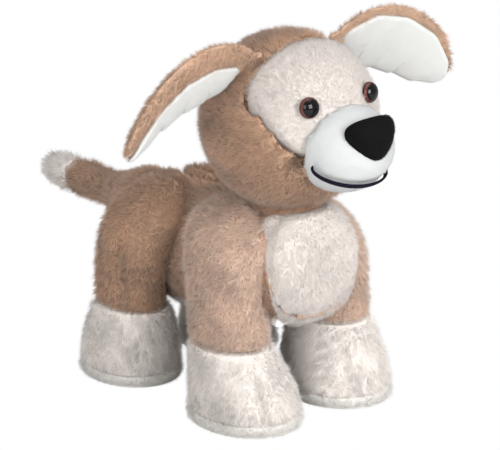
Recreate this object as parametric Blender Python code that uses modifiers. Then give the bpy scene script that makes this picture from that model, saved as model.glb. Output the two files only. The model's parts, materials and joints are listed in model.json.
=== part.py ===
# A standing plush dog with a motor-driven head and tail, in metres, facing -Y, +Z up.
import math

import bmesh
import bpy
from mathutils import Matrix, Vector

# Clearances
SEAM_GAP = 0.0004
RUN_GAP = 0.0009
FIT_GAP = 0.0003

# Head, a ball that turns about the upright axis through its centre
HEAD_RADIUS = 0.0725
HEAD_Y = -0.1027
HEAD_Z = 0.242
FACE_DEPTH = 0.012
FACE_TOP = 0.069
FACE_CHEEK = 0.059
FACE_CHEEK_Z = 0.030
FACE_LOW = 0.040
FACE_LOW_Z = -0.008

# Muzzle, nose and mouth, placed from the head's centre
MUZZLE_FORWARD = 0.058
MUZZLE_DROP = 0.007
MUZZLE_HALF_WIDTH = 0.042
MUZZLE_HALF_LENGTH = 0.048
MUZZLE_HALF_HEIGHT = 0.037
NOSE_FORWARD = 0.100
NOSE_RISE = 0.009
NOSE_HALF_WIDTH = 0.023
NOSE_HALF_DEPTH = 0.0105
NOSE_HALF_HEIGHT = 0.017
MOUTH_HALF_WIDTH = 0.0405
MOUTH_END_Z = -0.012
MOUTH_LOW_Z = -0.030
MOUTH_RADIUS = 0.0015

# Eyes
EYE_RADIUS = 0.0085
EYE_DEPTH = 0.006
EYE_LATERAL = 0.031
EYE_RISE = 0.029
SHANK_RADIUS = 0.002
SHANK_LENGTH = 0.018
WASHER_RADIUS = 0.007
WASHER_THICK = 0.002

# Ears
EAR_ROOT_X = 0.0465
EAR_ROOT_Z = 0.053
EAR_HALF_WIDTH = 0.034
EAR_LENGTH = 0.118
EAR_DROOP = 0.054
EAR_HALF_THICK = 0.0055
LINING_HALF_THICK = 0.0024
LINING_SHARE = 0.88
EAR_FOLD_DOWN = -12.0
EAR_BEAD_RADIUS = 0.0045
EAR_BEAD_HALF = 0.019

# Torso
BODY_HALF_WIDTH = 0.051
BODY_HALF_HEIGHT = 0.054
BODY_Z = 0.109
BODY_FRONT = -0.158
BODY_BACK = 0.092
CHEST_CORNER = 0.012
CHEST_HALF_WIDTH = 0.046
CHEST_TOP = 0.205
CHEST_LOW = 0.090
CHEST_DEPTH_Y = -0.1222
BELLY_HALF_WIDTH = 0.032
BELLY_FRONT = -0.0492
BELLY_BACK = 0.0088
BELLY_TOP = 0.0725

# Legs
FRONT_X = 0.048
FRONT_Y = -0.0867
HIND_X = 0.052
HIND_Y = 0.0258
LEG_RADIUS = 0.0325
LEG_TOP = 0.160
PAW_SEAM = 0.067
SOLE_HEIGHT = 0.008
FRONT_PAW_HALF_WIDTH = 0.0435
FRONT_PAW_HALF_LENGTH = 0.052
FRONT_PAW_FORWARD = 0.019
HIND_PAW_HALF_WIDTH = 0.040
HIND_PAW_HALF_LENGTH = 0.047
HIND_PAW_FORWARD = -0.009

# Tail
TAIL_Y = 0.0878
TAIL_Z = 0.125
TAIL_RADIUS = 0.0165
TAIL_ROOT_RADIUS = 0.0145
TAIL_SWING = 25.0
TAIL_LENGTH = 0.1255
TAIL_TIP_LENGTH = 0.042
TAIL_SLOT_HALF = 0.0085
TAIL_ROD_RADIUS = 0.003
TAIL_ROD_LENGTH = 0.070

# Chassis
CHASSIS_HALF_WIDTH = 0.031
CHASSIS_FRONT = -0.1247
CHASSIS_BACK = 0.0458
CHASSIS_LOW = 0.080
CHASSIS_TOP = 0.146
CHASSIS_WALL = 0.002

# Gears: module, teeth and where they lie
MODULE = 0.001
PINION_TEETH = 12
NECK_TEETH = 36
SECTOR_TEETH = 54
SECTOR_HALF_SPAN = 10
PRESSURE_ANGLE = math.radians(25)
ADDENDUM = 0.8
DEDENDUM = 1.1
BACKLASH = 0.00035
GEAR_THICK = 0.006
NECK_GEAR_Z = 0.128
SECTOR_Z = TAIL_Z - GEAR_THICK / 2

# Drive pieces
SHAFT_RADIUS = 0.007
SHAFT_LOW = 0.118
PLATE_RADIUS = 0.040
PLATE_THICK = 0.004
PLATE_Z = 0.199
BUSH_RADIUS = 0.010
MOTOR_HALF_WIDTH = 0.006
MOTOR_HALF_DEPTH = 0.005
MOTOR_LENGTH = 0.024
MOTOR_SHAFT_RADIUS = 0.0015
PIN_RADIUS = 0.002
CLEVIS_HALF_GAP = 0.0056
CLEVIS_THICK = 0.0024
CLEVIS_HALF_WIDTH = 0.010

# Cells, door, board, speaker and switches
CELL_RADIUS = 0.00725
CELL_LENGTH = 0.0505
CELL_PITCH = 0.0152
CELL_MIDDLE_Y = -0.0277
DOOR_HALF_WIDTH = 0.028
DOOR_FRONT = -0.0542
DOOR_BACK = 0.0078
DOOR_THICK = 0.0024
DOOR_SCREW_Y = 0.0023
SCREW_RADIUS = 0.0012
SCREW_HEAD_RADIUS = 0.003
BOARD_HALF_WIDTH = 0.027
BOARD_FRONT = -0.0512
BOARD_BACK = -0.0012
BOARD_THICK = 0.0016
BOARD_Z = 0.108
SPEAKER_RADIUS = 0.018
SPEAKER_Y = 0.0258
SPEAKER_DEPTH = 0.012
GRILLE_HOLE = 0.0018
BUTTON_Y = -0.0352
BUTTON_RADIUS = 0.009
BUTTON_STEM = 0.004
BUTTON_TRAVEL = 0.002
BUTTON_CAP = 0.003
SWITCH_X = 0.0215
SWITCH_Y = 0.0258
SWITCH_TRAVEL = 0.003
SWITCH_HALF = 0.0025


def clear_scene():
    for old in list(bpy.data.objects):
        bpy.data.objects.remove(old, do_unlink=True)


def collection(name):
    made = bpy.data.collections.new(name)
    bpy.context.scene.collection.children.link(made)
    return made


def material(name, colour, roughness, metallic=0.0):
    made = bpy.data.materials.new(name)
    made.use_nodes = True
    shader = made.node_tree.nodes["Principled BSDF"]
    shader.inputs["Base Color"].default_value = (*colour, 1.0)
    shader.inputs["Roughness"].default_value = roughness
    shader.inputs["Metallic"].default_value = metallic
    return made


def new_object(name, mesh, slot=None):
    made = bpy.data.objects.new(name, mesh)
    (PARTS if slot else CUTTERS).objects.link(made)
    if slot:
        mesh.materials.clear()
        mesh.materials.append(slot)
    return made


def from_bmesh(name, bm, slot=None):
    mesh = bpy.data.meshes.new(name)
    bmesh.ops.recalc_face_normals(bm, faces=bm.faces)
    bm.to_mesh(mesh)
    bm.free()
    return new_object(name, mesh, slot)


def evaluated_mesh(obj):
    bpy.context.view_layer.update()
    graph = bpy.context.evaluated_depsgraph_get()
    return bpy.data.meshes.new_from_object(obj.evaluated_get(graph))


def apply_modifiers(obj):
    mesh = evaluated_mesh(obj)
    obj.modifiers.clear()
    obj.data = mesh
    return obj


def box(name, low, high, slot=None):
    bm = bmesh.new()
    bmesh.ops.create_cube(bm, size=1.0)
    middle = [(a + b) / 2 for a, b in zip(low, high)]
    size = [b - a for a, b in zip(low, high)]
    bmesh.ops.transform(bm, verts=bm.verts, matrix=Matrix.Translation(middle) @ Matrix.Diagonal((*size, 1)))
    return from_bmesh(name, bm, slot)


def cylinder(name, base, axis, radius, length, slot=None, sides=24, end_radius=None):
    # A round bar that starts at base and runs along axis
    bm = bmesh.new()
    last = radius if end_radius is None else end_radius
    bmesh.ops.create_cone(bm, cap_ends=True, segments=sides, radius1=radius, radius2=last, depth=length)
    turn = Vector((0, 0, 1)).rotation_difference(Vector(axis)).to_matrix().to_4x4()
    place = Matrix.Translation(base) @ turn @ Matrix.Translation((0, 0, length / 2))
    bmesh.ops.transform(bm, verts=bm.verts, matrix=place)
    return from_bmesh(name, bm, slot)


def ellipsoid(name, centre, radii, slot=None, around=24, down=12):
    bm = bmesh.new()
    bmesh.ops.create_uvsphere(bm, u_segments=around, v_segments=down, radius=1.0)
    bmesh.ops.transform(bm, verts=bm.verts, matrix=Matrix.Translation(centre) @ Matrix.Diagonal((*radii, 1)))
    return from_bmesh(name, bm, slot)


def stuffed(name, rings, sides, slot=None):
    # A swelling form: a cage of elliptical rings, each (centre, half axis, other half axis), then subdivided
    shrink = (2 + math.cos(2 * math.pi / sides)) / 3
    bm = bmesh.new()
    cage = []
    for centre, first, second in rings:
        angles = [2 * math.pi * k / sides for k in range(sides)]
        points = [
            Vector(centre) + Vector(first) * (math.cos(t) / shrink) + Vector(second) * (math.sin(t) / shrink)
            for t in angles
        ]
        cage.append([bm.verts.new(p) for p in points])
    for near, far in zip(cage, cage[1:]):
        for k in range(sides):
            after = (k + 1) % sides
            bm.faces.new((near[k], near[after], far[after], far[k]))
    bm.faces.new(cage[0])
    bm.faces.new(cage[-1])
    made = from_bmesh(name, bm, slot)
    swell = made.modifiers.new("swell", "SUBSURF")
    swell.levels = 1
    swell.render_levels = 1
    return apply_modifiers(made)


def grown(obj, gap):
    # A cutter that is this piece, thicker all over by a gap
    copy = new_object(obj.name + "_cutter", obj.data.copy())
    copy.matrix_world = obj.matrix_world
    swell = copy.modifiers.new("gap", "DISPLACE")
    swell.mid_level = 0.0
    swell.strength = gap
    return apply_modifiers(copy)


def boolean(obj, tool, operation):
    step = obj.modifiers.new(operation.lower(), "BOOLEAN")
    step.operation = operation
    step.solver = "EXACT"
    step.object = tool
    apply_modifiers(obj)
    bpy.data.objects.remove(tool, do_unlink=True)
    return obj


def cut(obj, tool):
    return boolean(obj, tool, "DIFFERENCE")


def join(obj, tool):
    return boolean(obj, tool, "UNION")


def keep_inside(obj, tool):
    return boolean(obj, tool, "INTERSECT")


def keep_side(obj, point, normal):
    # Cuts the piece by a plane, keeps the side that the normal points to, and closes it
    bm = bmesh.new()
    bm.from_mesh(obj.data)
    geometry = bm.verts[:] + bm.edges[:] + bm.faces[:]
    bmesh.ops.bisect_plane(bm, geom=geometry, plane_co=point, plane_no=normal, clear_inner=True)
    rim = [edge for edge in bm.edges if edge.is_boundary]
    bmesh.ops.holes_fill(bm, edges=rim, sides=0)
    bmesh.ops.recalc_face_normals(bm, faces=bm.faces)
    bm.to_mesh(obj.data)
    bm.free()
    return obj


def copy_of(obj, name, slot=None):
    return new_object(name, obj.data.copy(), slot)


def smooth(obj):
    obj.data.shade_smooth()
    obj.data.set_sharp_from_angle(angle=math.radians(40))


def involute(angle):
    return math.tan(angle) - angle


def tooth_flank(teeth):
    # Half of one tooth: (radius, half angle) from root to tip on an involute, thinned by the backlash
    pitch = MODULE * teeth / 2
    base = pitch * math.cos(PRESSURE_ANGLE)
    half = math.pi / (2 * teeth) - BACKLASH / (2 * pitch)
    root = pitch - DEDENDUM * MODULE
    tip = pitch + ADDENDUM * MODULE
    start = max(base, root)
    flank = [(root, half + involute(PRESSURE_ANGLE))] if root < base else []
    for k in range(3):
        radius = start + (tip - start) * k / 2
        flank.append((radius, half + involute(PRESSURE_ANGLE) - involute(math.acos(base / radius))))
    return flank


def gear_outline(teeth, first, last, turn):
    # Points of the teeth from first to last, each centred on turn plus its share of the circle
    points = []
    for k in range(first, last + 1):
        middle = turn + 2 * math.pi * k / teeth
        flank = tooth_flank(teeth)
        for radius, half in flank:
            points.append((radius * math.cos(middle - half), radius * math.sin(middle - half)))
        for radius, half in reversed(flank):
            points.append((radius * math.cos(middle + half), radius * math.sin(middle + half)))
    return points


def plate(name, outline, low, high, slot=None):
    # A flat outline in X and Y, given its thickness between two heights
    bm = bmesh.new()
    base = [bm.verts.new((x, y, low)) for x, y in outline]
    face = bm.faces.new(base)
    made = bmesh.ops.extrude_face_region(bm, geom=[face])["geom"]
    raised = [item for item in made if isinstance(item, bmesh.types.BMVert)]
    bmesh.ops.translate(bm, verts=raised, vec=(0, 0, high - low))
    return from_bmesh(name, bm, slot)


def smooth_outline(corners, steps):
    # A closed curve through the corners, each stretch a Catmull-Rom arc
    points = [Vector(c) for c in corners]
    count = len(points)
    curve = []
    for k in range(count):
        a, b, c, d = (points[(k + j - 1) % count] for j in range(4))
        for j in range(steps):
            t = j / steps
            curve.append(
                0.5 * (2 * b + (c - a) * t + (2 * a - 5 * b + 4 * c - d) * t**2 + (3 * b - a - 3 * c + d) * t**3)
            )
    return curve


def prism_along_y(name, corners, near, far):
    # A smooth outline in X and Z, carried from one Y to another
    outline = smooth_outline(corners, 4)
    bm = bmesh.new()
    face = bm.faces.new([bm.verts.new((p.x, near, p.y)) for p in outline])
    made = bmesh.ops.extrude_face_region(bm, geom=[face])["geom"]
    moved = [item for item in made if isinstance(item, bmesh.types.BMVert)]
    bmesh.ops.translate(bm, verts=moved, vec=(0, far - near, 0))
    return from_bmesh(name, bm)


def from_head(lateral, forward, rise):
    return Vector((lateral, HEAD_Y - forward, HEAD_Z + rise))


def body_form():
    wide, tall, z = BODY_HALF_WIDTH, BODY_HALF_HEIGHT, BODY_Z
    stations = (
        (0.000, z + tall * 0.30, wide * 0.50, tall * 0.55),
        (0.052, z + tall * 0.26, wide * 0.92, tall * 0.98),
        (0.196, z + tall * 0.22, wide * 1.06, tall * 1.22),
        (0.404, z + tall * 0.07, wide * 1.02, tall * 1.06),
        (0.612, z, wide * 0.98, tall * 0.97),
        (0.792, z, wide * 1.04, tall),
        (0.932, z + tall * 0.04, wide * 0.92, tall * 0.86),
        (1.000, z + tall * 0.07, wide * 0.52, tall * 0.46),
    )
    long = BODY_BACK - BODY_FRONT
    rings = [((0, BODY_FRONT + long * y, middle), (a, 0, 0), (0, 0, b)) for y, middle, a, b in stations]
    return stuffed("body_form", rings, 14)


def limb_form(name, x, y, half_width, half_length, forward):
    # One boot-shaped limb from its flat sole to the shoulder or hip inside the torso
    r = LEG_RADIUS
    paw_y = y - forward
    low, rise = PAW_SEAM, LEG_TOP - PAW_SEAM
    stations = (
        (low * -0.12, paw_y, half_width * 0.70, half_length * 0.72),
        (low * 0.015, paw_y, half_width * 0.93, half_length * 0.94),
        (low * 0.24, paw_y, half_width * 1.02, half_length * 1.02),
        (low * 0.54, paw_y, half_width, half_length * 0.97),
        (low * 0.79, paw_y + forward * 0.35, half_width * 0.86, half_length * 0.78),
        (low + rise * 0.05, y, r * 0.98, r * 1.02),
        (low + rise * 0.44, y, r * 1.04, r * 1.12),
        (low + rise * 0.785, y, r * 0.92, r * 1.06),
        (LEG_TOP, y, r * 0.50, r * 0.62),
    )
    rings = [((x, middle, z), (a, 0, 0), (0, b, 0)) for z, middle, a, b in stations]
    form = stuffed(name, rings, 12)
    return keep_side(form, (0, 0, 0), (0, 0, 1))


def make_legs(torso):
    for end, x, y, wide, long, forward in (
        ("front", FRONT_X, FRONT_Y, FRONT_PAW_HALF_WIDTH, FRONT_PAW_HALF_LENGTH, FRONT_PAW_FORWARD),
        ("hind", HIND_X, HIND_Y, HIND_PAW_HALF_WIDTH, HIND_PAW_HALF_LENGTH, HIND_PAW_FORWARD),
    ):
        for side, sign in (("left", 1), ("right", -1)):
            name = f"{end}_{side}"
            form = limb_form(name, sign * x, y, wide, long, forward)
            cut(form, grown(torso, SEAM_GAP))
            leg = copy_of(form, "leg_" + name, TAN)
            keep_side(leg, (0, 0, PAW_SEAM + SEAM_GAP / 2), (0, 0, 1))
            paw = copy_of(form, "paw_" + name, CREAM)
            keep_side(paw, (0, 0, PAW_SEAM - SEAM_GAP / 2), (0, 0, -1))
            keep_side(paw, (0, 0, SOLE_HEIGHT + SEAM_GAP / 2), (0, 0, 1))
            sole = copy_of(form, "sole_" + name, WHITE)
            keep_side(sole, (0, 0, SOLE_HEIGHT - SEAM_GAP / 2), (0, 0, -1))
            bpy.data.objects.remove(form, do_unlink=True)
            for piece in (leg, paw, sole):
                smooth(piece)


def ear_rings(sign, offset, half_thick, share):
    # The ear's middle line rises from its root, then droops; its face turns down and forward
    shape = (
        (0.00, 0.00, 0.55, 0.60),
        (0.10, 0.04, 0.76, 0.85),
        (0.29, 0.055, 1.00, 1.00),
        (0.525, -0.075, 1.00, 1.00),
        (0.755, -0.37, 0.90, 1.00),
        (0.915, -0.74, 0.66, 0.90),
        (1.00, -1.00, 0.30, 0.60),
    )
    line = [(EAR_LENGTH * out, EAR_DROOP * rise, width, thick) for out, rise, width, thick in shape]
    wide = Vector((sign * 0.15, -0.48, 0.86)).normalized()
    rings = []
    for k, (out, rise, width, thick) in enumerate(line):
        before = line[max(k - 1, 0)]
        after = line[min(k + 1, len(line) - 1)]
        along = Vector((sign * (after[0] - before[0]), 0, after[1] - before[1])).normalized()
        across = (wide - along * wide.dot(along)).normalized()
        if k < 2:
            across = across.lerp(ear_root(sign)[1], 1 - k / 2).normalized()
        face = along.cross(across).normalized() * sign
        middle = from_head(sign * (EAR_ROOT_X + out), 0, EAR_ROOT_Z + rise) + face * offset
        rings.append((middle, across * EAR_HALF_WIDTH * width * share, face * half_thick * thick))
    return rings


def ear_root(sign):
    # The sewn root: its middle, and its direction, which lies along the head's surface
    return from_head(sign * EAR_ROOT_X, 0, EAR_ROOT_Z), Vector((-sign * 0.622, -0.562, 0.546)).normalized()


def make_ears(head_pieces):
    offset = EAR_HALF_THICK + LINING_HALF_THICK + SEAM_GAP
    for side, sign in (("left", 1), ("right", -1)):
        point, root = ear_root(sign)
        ear = stuffed(f"ear_{side}", ear_rings(sign, 0.0, EAR_HALF_THICK, 1.0), 8, TAN)
        inner = ear_rings(sign, offset, LINING_HALF_THICK, LINING_SHARE)[2:]
        lining = stuffed(f"ear_lining_{side}", inner, 8, WHITE)
        cut(lining, grown(ear, SEAM_GAP))

        # The ear folds about a round bead at its root, which lies in a groove of the head
        half, room = EAR_BEAD_HALF, EAR_BEAD_HALF + RUN_GAP
        for piece in head_pieces:
            cut(piece, swung(ear, point, root * sign, EAR_FOLD_DOWN))
            groove = EAR_BEAD_RADIUS + RUN_GAP
            cut(piece, cylinder("groove", point - root * room, root, groove, 2 * room, None, 16))
        join(ear, cylinder("bead", point - root * half, root, EAR_BEAD_RADIUS, 2 * half, None, 16))
        for piece in (ear, lining):
            smooth(piece)
            set_origin(piece, point)


def swung(obj, point, axis, degrees):
    # A cutter that clears this piece when it has turned about an axis
    tool = grown(obj, RUN_GAP)
    turn = Matrix.Rotation(math.radians(degrees), 4, axis)
    tool.data.transform(Matrix.Translation(point) @ turn @ Matrix.Translation(-Vector(point)))
    return tool


def set_origin(obj, point):
    obj.data.transform(Matrix.Translation(-Vector(point)))
    obj.location = point


def make_head():
    head = ellipsoid("head_plush", from_head(0, 0, 0), (HEAD_RADIUS,) * 3, TAN, 32, 14)
    skull = copy_of(head, "skull")
    corners = (
        (0, HEAD_Z + FACE_TOP),
        (FACE_CHEEK * 0.70, HEAD_Z + FACE_TOP * 0.82),
        (FACE_CHEEK, HEAD_Z + FACE_CHEEK_Z),
        (FACE_LOW, HEAD_Z + FACE_LOW_Z),
        (0, HEAD_Z + FACE_LOW_Z * 1.4),
        (-FACE_LOW, HEAD_Z + FACE_LOW_Z),
        (-FACE_CHEEK, HEAD_Z + FACE_CHEEK_Z),
        (-FACE_CHEEK * 0.70, HEAD_Z + FACE_TOP * 0.82),
    )
    front = HEAD_Y - HEAD_RADIUS * 1.2
    face = copy_of(head, "face_patch", CREAM)
    keep_inside(face, prism_along_y("face_outline", corners, front, HEAD_Y - FACE_DEPTH))
    cut(head, grown(face, SEAM_GAP))

    muzzle_radii = (MUZZLE_HALF_WIDTH, MUZZLE_HALF_LENGTH, MUZZLE_HALF_HEIGHT)
    muzzle_centre = from_head(0, MUZZLE_FORWARD, -MUZZLE_DROP)
    muzzle = ellipsoid("muzzle", muzzle_centre, muzzle_radii, WHITE, 28, 14)
    cut(muzzle, grown(skull, SEAM_GAP))
    nose = ellipsoid(
        "nose",
        from_head(0, NOSE_FORWARD, NOSE_RISE),
        (NOSE_HALF_WIDTH, NOSE_HALF_DEPTH, NOSE_HALF_HEIGHT),
        BLACK,
        20,
        10,
    )
    cut(nose, grown(muzzle, SEAM_GAP))
    make_mouth(muzzle_centre, muzzle_radii)
    for side, sign in (("left", 1), ("right", -1)):
        make_eye(side, sign, face)
    bpy.data.objects.remove(skull, do_unlink=True)
    for piece in (muzzle, nose):
        smooth(piece)
    return head, face


def make_mouth(centre, radii):
    # A thin sewn line that hangs in an arc on the muzzle's lower front
    curve = bpy.data.curves.new("mouth_line", "CURVE")
    curve.dimensions = "3D"
    curve.bevel_depth = MOUTH_RADIUS
    curve.bevel_resolution = 1
    curve.use_fill_caps = True
    spline = curve.splines.new("POLY")
    count = 17
    spline.points.add(count - 1)
    clear = MOUTH_RADIUS + SEAM_GAP
    for k in range(count):
        s = 2 * k / (count - 1) - 1
        x = MOUTH_HALF_WIDTH * math.sin(s * math.pi / 2)
        z = HEAD_Z + MOUTH_LOW_Z + (MOUTH_END_Z - MOUTH_LOW_Z) * s * s
        out = [radius + clear for radius in radii]
        rest = 1 - (x / out[0]) ** 2 - ((z - centre.z) / out[2]) ** 2
        y = centre.y - out[1] * math.sqrt(rest)
        spline.points[k].co = (x, y, z, 1)
    line = bpy.data.objects.new("mouth_curve", curve)
    CUTTERS.objects.link(line)
    mesh = evaluated_mesh(line)
    bpy.data.objects.remove(line, do_unlink=True)
    bm = bmesh.new()
    bm.from_mesh(mesh)
    bmesh.ops.remove_doubles(bm, verts=bm.verts, dist=0.00001)
    from_bmesh("mouth_line", bm, MOUTH)


def make_eye(side, sign, face):
    forward = math.sqrt(HEAD_RADIUS**2 - EYE_LATERAL**2 - EYE_RISE**2)
    point = from_head(sign * EYE_LATERAL, forward, EYE_RISE)
    outward = Vector((sign * EYE_LATERAL * 0.4, -forward, EYE_RISE * 0.4)).normalized()
    seat = point + outward * 0.0008
    eye = ellipsoid("dome", (0, 0, 0), (EYE_RADIUS, EYE_RADIUS, EYE_DEPTH), None, 20, 10)
    keep_side(eye, (0, 0, 0), (0, 0, 1))
    turn = Vector((0, 0, 1)).rotation_difference(outward).to_matrix().to_4x4()
    eye.data.transform(Matrix.Translation(seat) @ turn)
    eye = copy_of(eye, f"eye_{side}", EYE)
    bpy.data.objects.remove(bpy.data.objects["dome"], do_unlink=True)
    join(eye, cylinder("shank", seat + outward * 0.001, -outward, SHANK_RADIUS, SHANK_LENGTH, None, 12))
    well = EYE_RADIUS + SEAM_GAP
    cut(face, cylinder("eye_seat", seat - outward * SEAM_GAP, outward, well, 0.02, None, 20))
    deep = SHANK_LENGTH + 0.004
    cut(face, cylinder("shank_hole", seat + outward * 0.001, -outward, SHANK_RADIUS + FIT_GAP, deep, None, 12))
    back = seat - outward * (SHANK_LENGTH - WASHER_THICK - 0.003)
    pocket = cylinder("washer_pocket", back + outward * FIT_GAP, -outward, WASHER_RADIUS + FIT_GAP, 0.08, None, 16)
    cut(face, pocket)
    washer = cylinder(f"eye_washer_{side}", back, -outward, WASHER_RADIUS, WASHER_THICK, STEEL, 16)
    bore = cylinder("bore", back + outward * 0.01, -outward, SHANK_RADIUS + FIT_GAP, 0.03, None, 12)
    cut(washer, bore)
    smooth(eye)


def make_tail(body):
    reach = TAIL_LENGTH
    r = TAIL_RADIUS
    stations = (
        (TAIL_ROOT_RADIUS * -0.86, r * 0.35),
        (TAIL_ROOT_RADIUS * -0.59, r * 0.70),
        (0.0, TAIL_ROOT_RADIUS),
        (reach * 0.28, r * 0.96),
        (reach * 0.55, r * 1.00),
        (reach * 0.80, r * 0.98),
        (reach * 0.94, r * 0.84),
        (reach, r * 0.46),
    )
    rings = [((0, TAIL_Y + y, TAIL_Z), (a, 0, 0), (0, 0, a)) for y, a in stations]
    form = stuffed("tail_form", rings, 12)
    pivot = (0, TAIL_Y, TAIL_Z)
    # The body is hollowed by a ball about the pivot and by the cone that the wagging tail sweeps
    swing = math.radians(TAIL_SWING)
    cut(body, ellipsoid("ball_room", pivot, (TAIL_ROOT_RADIUS + RUN_GAP,) * 3, None, 24, 12))
    near = r / math.cos(swing) + RUN_GAP
    sweep = cylinder("sweep", pivot, (0, 1, 0), near, reach, None, 24, near + reach * math.tan(swing))
    cut(body, sweep)
    # One hollow takes the fork, the arm's hub and its rod
    slot_low = (-2 * r, TAIL_Y - 2 * r, TAIL_Z - TAIL_SLOT_HALF)
    hollow = box("hollow", slot_low, (2 * r, TAIL_Y + RUN_GAP, TAIL_Z + TAIL_SLOT_HALF))
    around = CLEVIS_HALF_WIDTH + RUN_GAP
    tall = TAIL_SLOT_HALF - FIT_GAP
    join(hollow, cylinder("hub_room", (0, TAIL_Y, TAIL_Z - tall), (0, 0, 1), around, 2 * tall, None, 24))
    rod_room = TAIL_ROD_RADIUS + FIT_GAP
    join(hollow, cylinder("rod_room", pivot, (0, 1, 0), rod_room, TAIL_ROD_LENGTH + FIT_GAP, None, 12))
    cut(form, hollow)
    seam = TAIL_Y + reach - TAIL_TIP_LENGTH
    tail = copy_of(form, "tail_plush", TAN)
    keep_side(tail, (0, seam - SEAM_GAP / 2, 0), (0, -1, 0))
    tip = copy_of(form, "tail_tip", CREAM)
    keep_side(tip, (0, seam + SEAM_GAP / 2, 0), (0, 1, 0))
    bpy.data.objects.remove(form, do_unlink=True)
    arm = make_tail_arm()
    for piece in (tail, tip, arm):
        smooth(piece)
        set_origin(piece, pivot)


def make_tail_arm():
    # Hub on the pin, rod down the tail and a toothed sector towards the motor
    pitch = MODULE * SECTOR_TEETH / 2
    turn = -math.pi / 2
    outline = gear_outline(SECTOR_TEETH, -SECTOR_HALF_SPAN, SECTOR_HALF_SPAN, turn)
    web = 0.006
    outline = [(x, y + TAIL_Y) for x, y in outline] + [(web, TAIL_Y), (-web, TAIL_Y)]
    arm = plate("tail_arm", outline, SECTOR_Z, SECTOR_Z + GEAR_THICK, ABS)
    hub = 2 * (CLEVIS_HALF_GAP - FIT_GAP)
    join(arm, cylinder("hub", (0, TAIL_Y, TAIL_Z - hub / 2), (0, 0, 1), CLEVIS_HALF_WIDTH - 0.002, hub, None, 24))
    join(arm, cylinder("rod", (0, TAIL_Y, TAIL_Z), (0, 1, 0), TAIL_ROD_RADIUS, TAIL_ROD_LENGTH, None, 12))
    bore = cylinder("bore", (0, TAIL_Y, TAIL_Z - hub), (0, 0, 1), PIN_RADIUS + FIT_GAP, 2 * hub, None, 16)
    cut(arm, bore)
    for sign in (1, -1):
        middle = (sign * pitch * 0.36, TAIL_Y - pitch * 0.60, SECTOR_Z - GEAR_THICK)
        cut(arm, cylinder("lightening", middle, (0, 0, 1), pitch * 0.13, 3 * GEAR_THICK, None, 16))
    span = CLEVIS_HALF_GAP + CLEVIS_THICK
    pin = cylinder("tail_pin", (0, TAIL_Y, TAIL_Z - span), (0, 0, 1), PIN_RADIUS, 2 * span, STEEL, 16)
    smooth(pin)
    return arm


def pinion(name, centre, low, turn):
    outline = gear_outline(PINION_TEETH, 0, PINION_TEETH - 1, turn)
    made = plate(name, [(x + centre[0], y + centre[1]) for x, y in outline], low, low + GEAR_THICK, BRASS)
    bore = MOTOR_SHAFT_RADIUS + FIT_GAP
    cut(made, cylinder("bore", (*centre, low - 0.01), (0, 0, 1), bore, 0.03, None, 12))
    set_origin(made, (*centre, low))
    return made


def motor(name, centre, top, reach):
    # A small can motor with its gearhead, shaft up
    half = (MOTOR_HALF_WIDTH, MOTOR_HALF_DEPTH)
    low = (centre[0] - half[0], centre[1] - half[1], top - MOTOR_LENGTH)
    high = (centre[0] + half[0], centre[1] + half[1], top)
    made = box(name, low, high, STEEL)
    rounding = made.modifiers.new("edges", "BEVEL")
    rounding.width = 0.0015
    rounding.segments = 2
    apply_modifiers(made)
    shaft = cylinder("shaft", (*centre, top - 0.002), (0, 0, 1), MOTOR_SHAFT_RADIUS, reach + 0.002, None, 12)
    join(made, shaft)
    return made


def make_neck():
    shaft = cylinder("neck_shaft", (0, HEAD_Y, SHAFT_LOW), (0, 0, 1), SHAFT_RADIUS, PLATE_Z - SHAFT_LOW, STEEL, 24)
    outline = gear_outline(NECK_TEETH, 0, NECK_TEETH - 1, math.pi / 2)
    gear = plate("neck_gear", [(x, y + HEAD_Y) for x, y in outline], NECK_GEAR_Z, NECK_GEAR_Z + GEAR_THICK, ABS)
    cut(gear, cylinder("bore", (0, HEAD_Y, 0.1), (0, 0, 1), SHAFT_RADIUS + FIT_GAP, 0.1, None, 24))
    top = PLATE_Z + FIT_GAP
    flange = cylinder("head_plate", (0, HEAD_Y, top), (0, 0, 1), PLATE_RADIUS, PLATE_THICK, ABS, 28)
    for k in range(6):
        angle = math.pi * k / 3
        place = (PLATE_RADIUS * 0.68 * math.cos(angle), HEAD_Y + PLATE_RADIUS * 0.68 * math.sin(angle), top - 0.01)
        cut(flange, cylinder("hole", place, (0, 0, 1), PLATE_RADIUS * 0.16, 0.03, None, 12))
    bush = cylinder(
        "neck_bush", (0, HEAD_Y, CHASSIS_TOP - CHASSIS_WALL), (0, 0, 1), BUSH_RADIUS, CHASSIS_WALL + 0.006, ABS, 24
    )
    cut(bush, cylinder("bore", (0, HEAD_Y, 0.1), (0, 0, 1), SHAFT_RADIUS + FIT_GAP, 0.1, None, 24))
    centre = (0.0, HEAD_Y + MODULE * (NECK_TEETH + PINION_TEETH) / 2)
    drive = pinion("head_pinion", centre, NECK_GEAR_Z, -math.pi / 2 + math.pi / PINION_TEETH)
    motor_top = NECK_GEAR_Z - FIT_GAP - 0.001
    can = motor("head_motor", centre, motor_top, GEAR_THICK + 0.001)
    for piece in (shaft, gear, flange):
        smooth(piece)
        set_origin(piece, (0, HEAD_Y, HEAD_Z))
    for piece in (bush, drive, can):
        smooth(piece)


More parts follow.
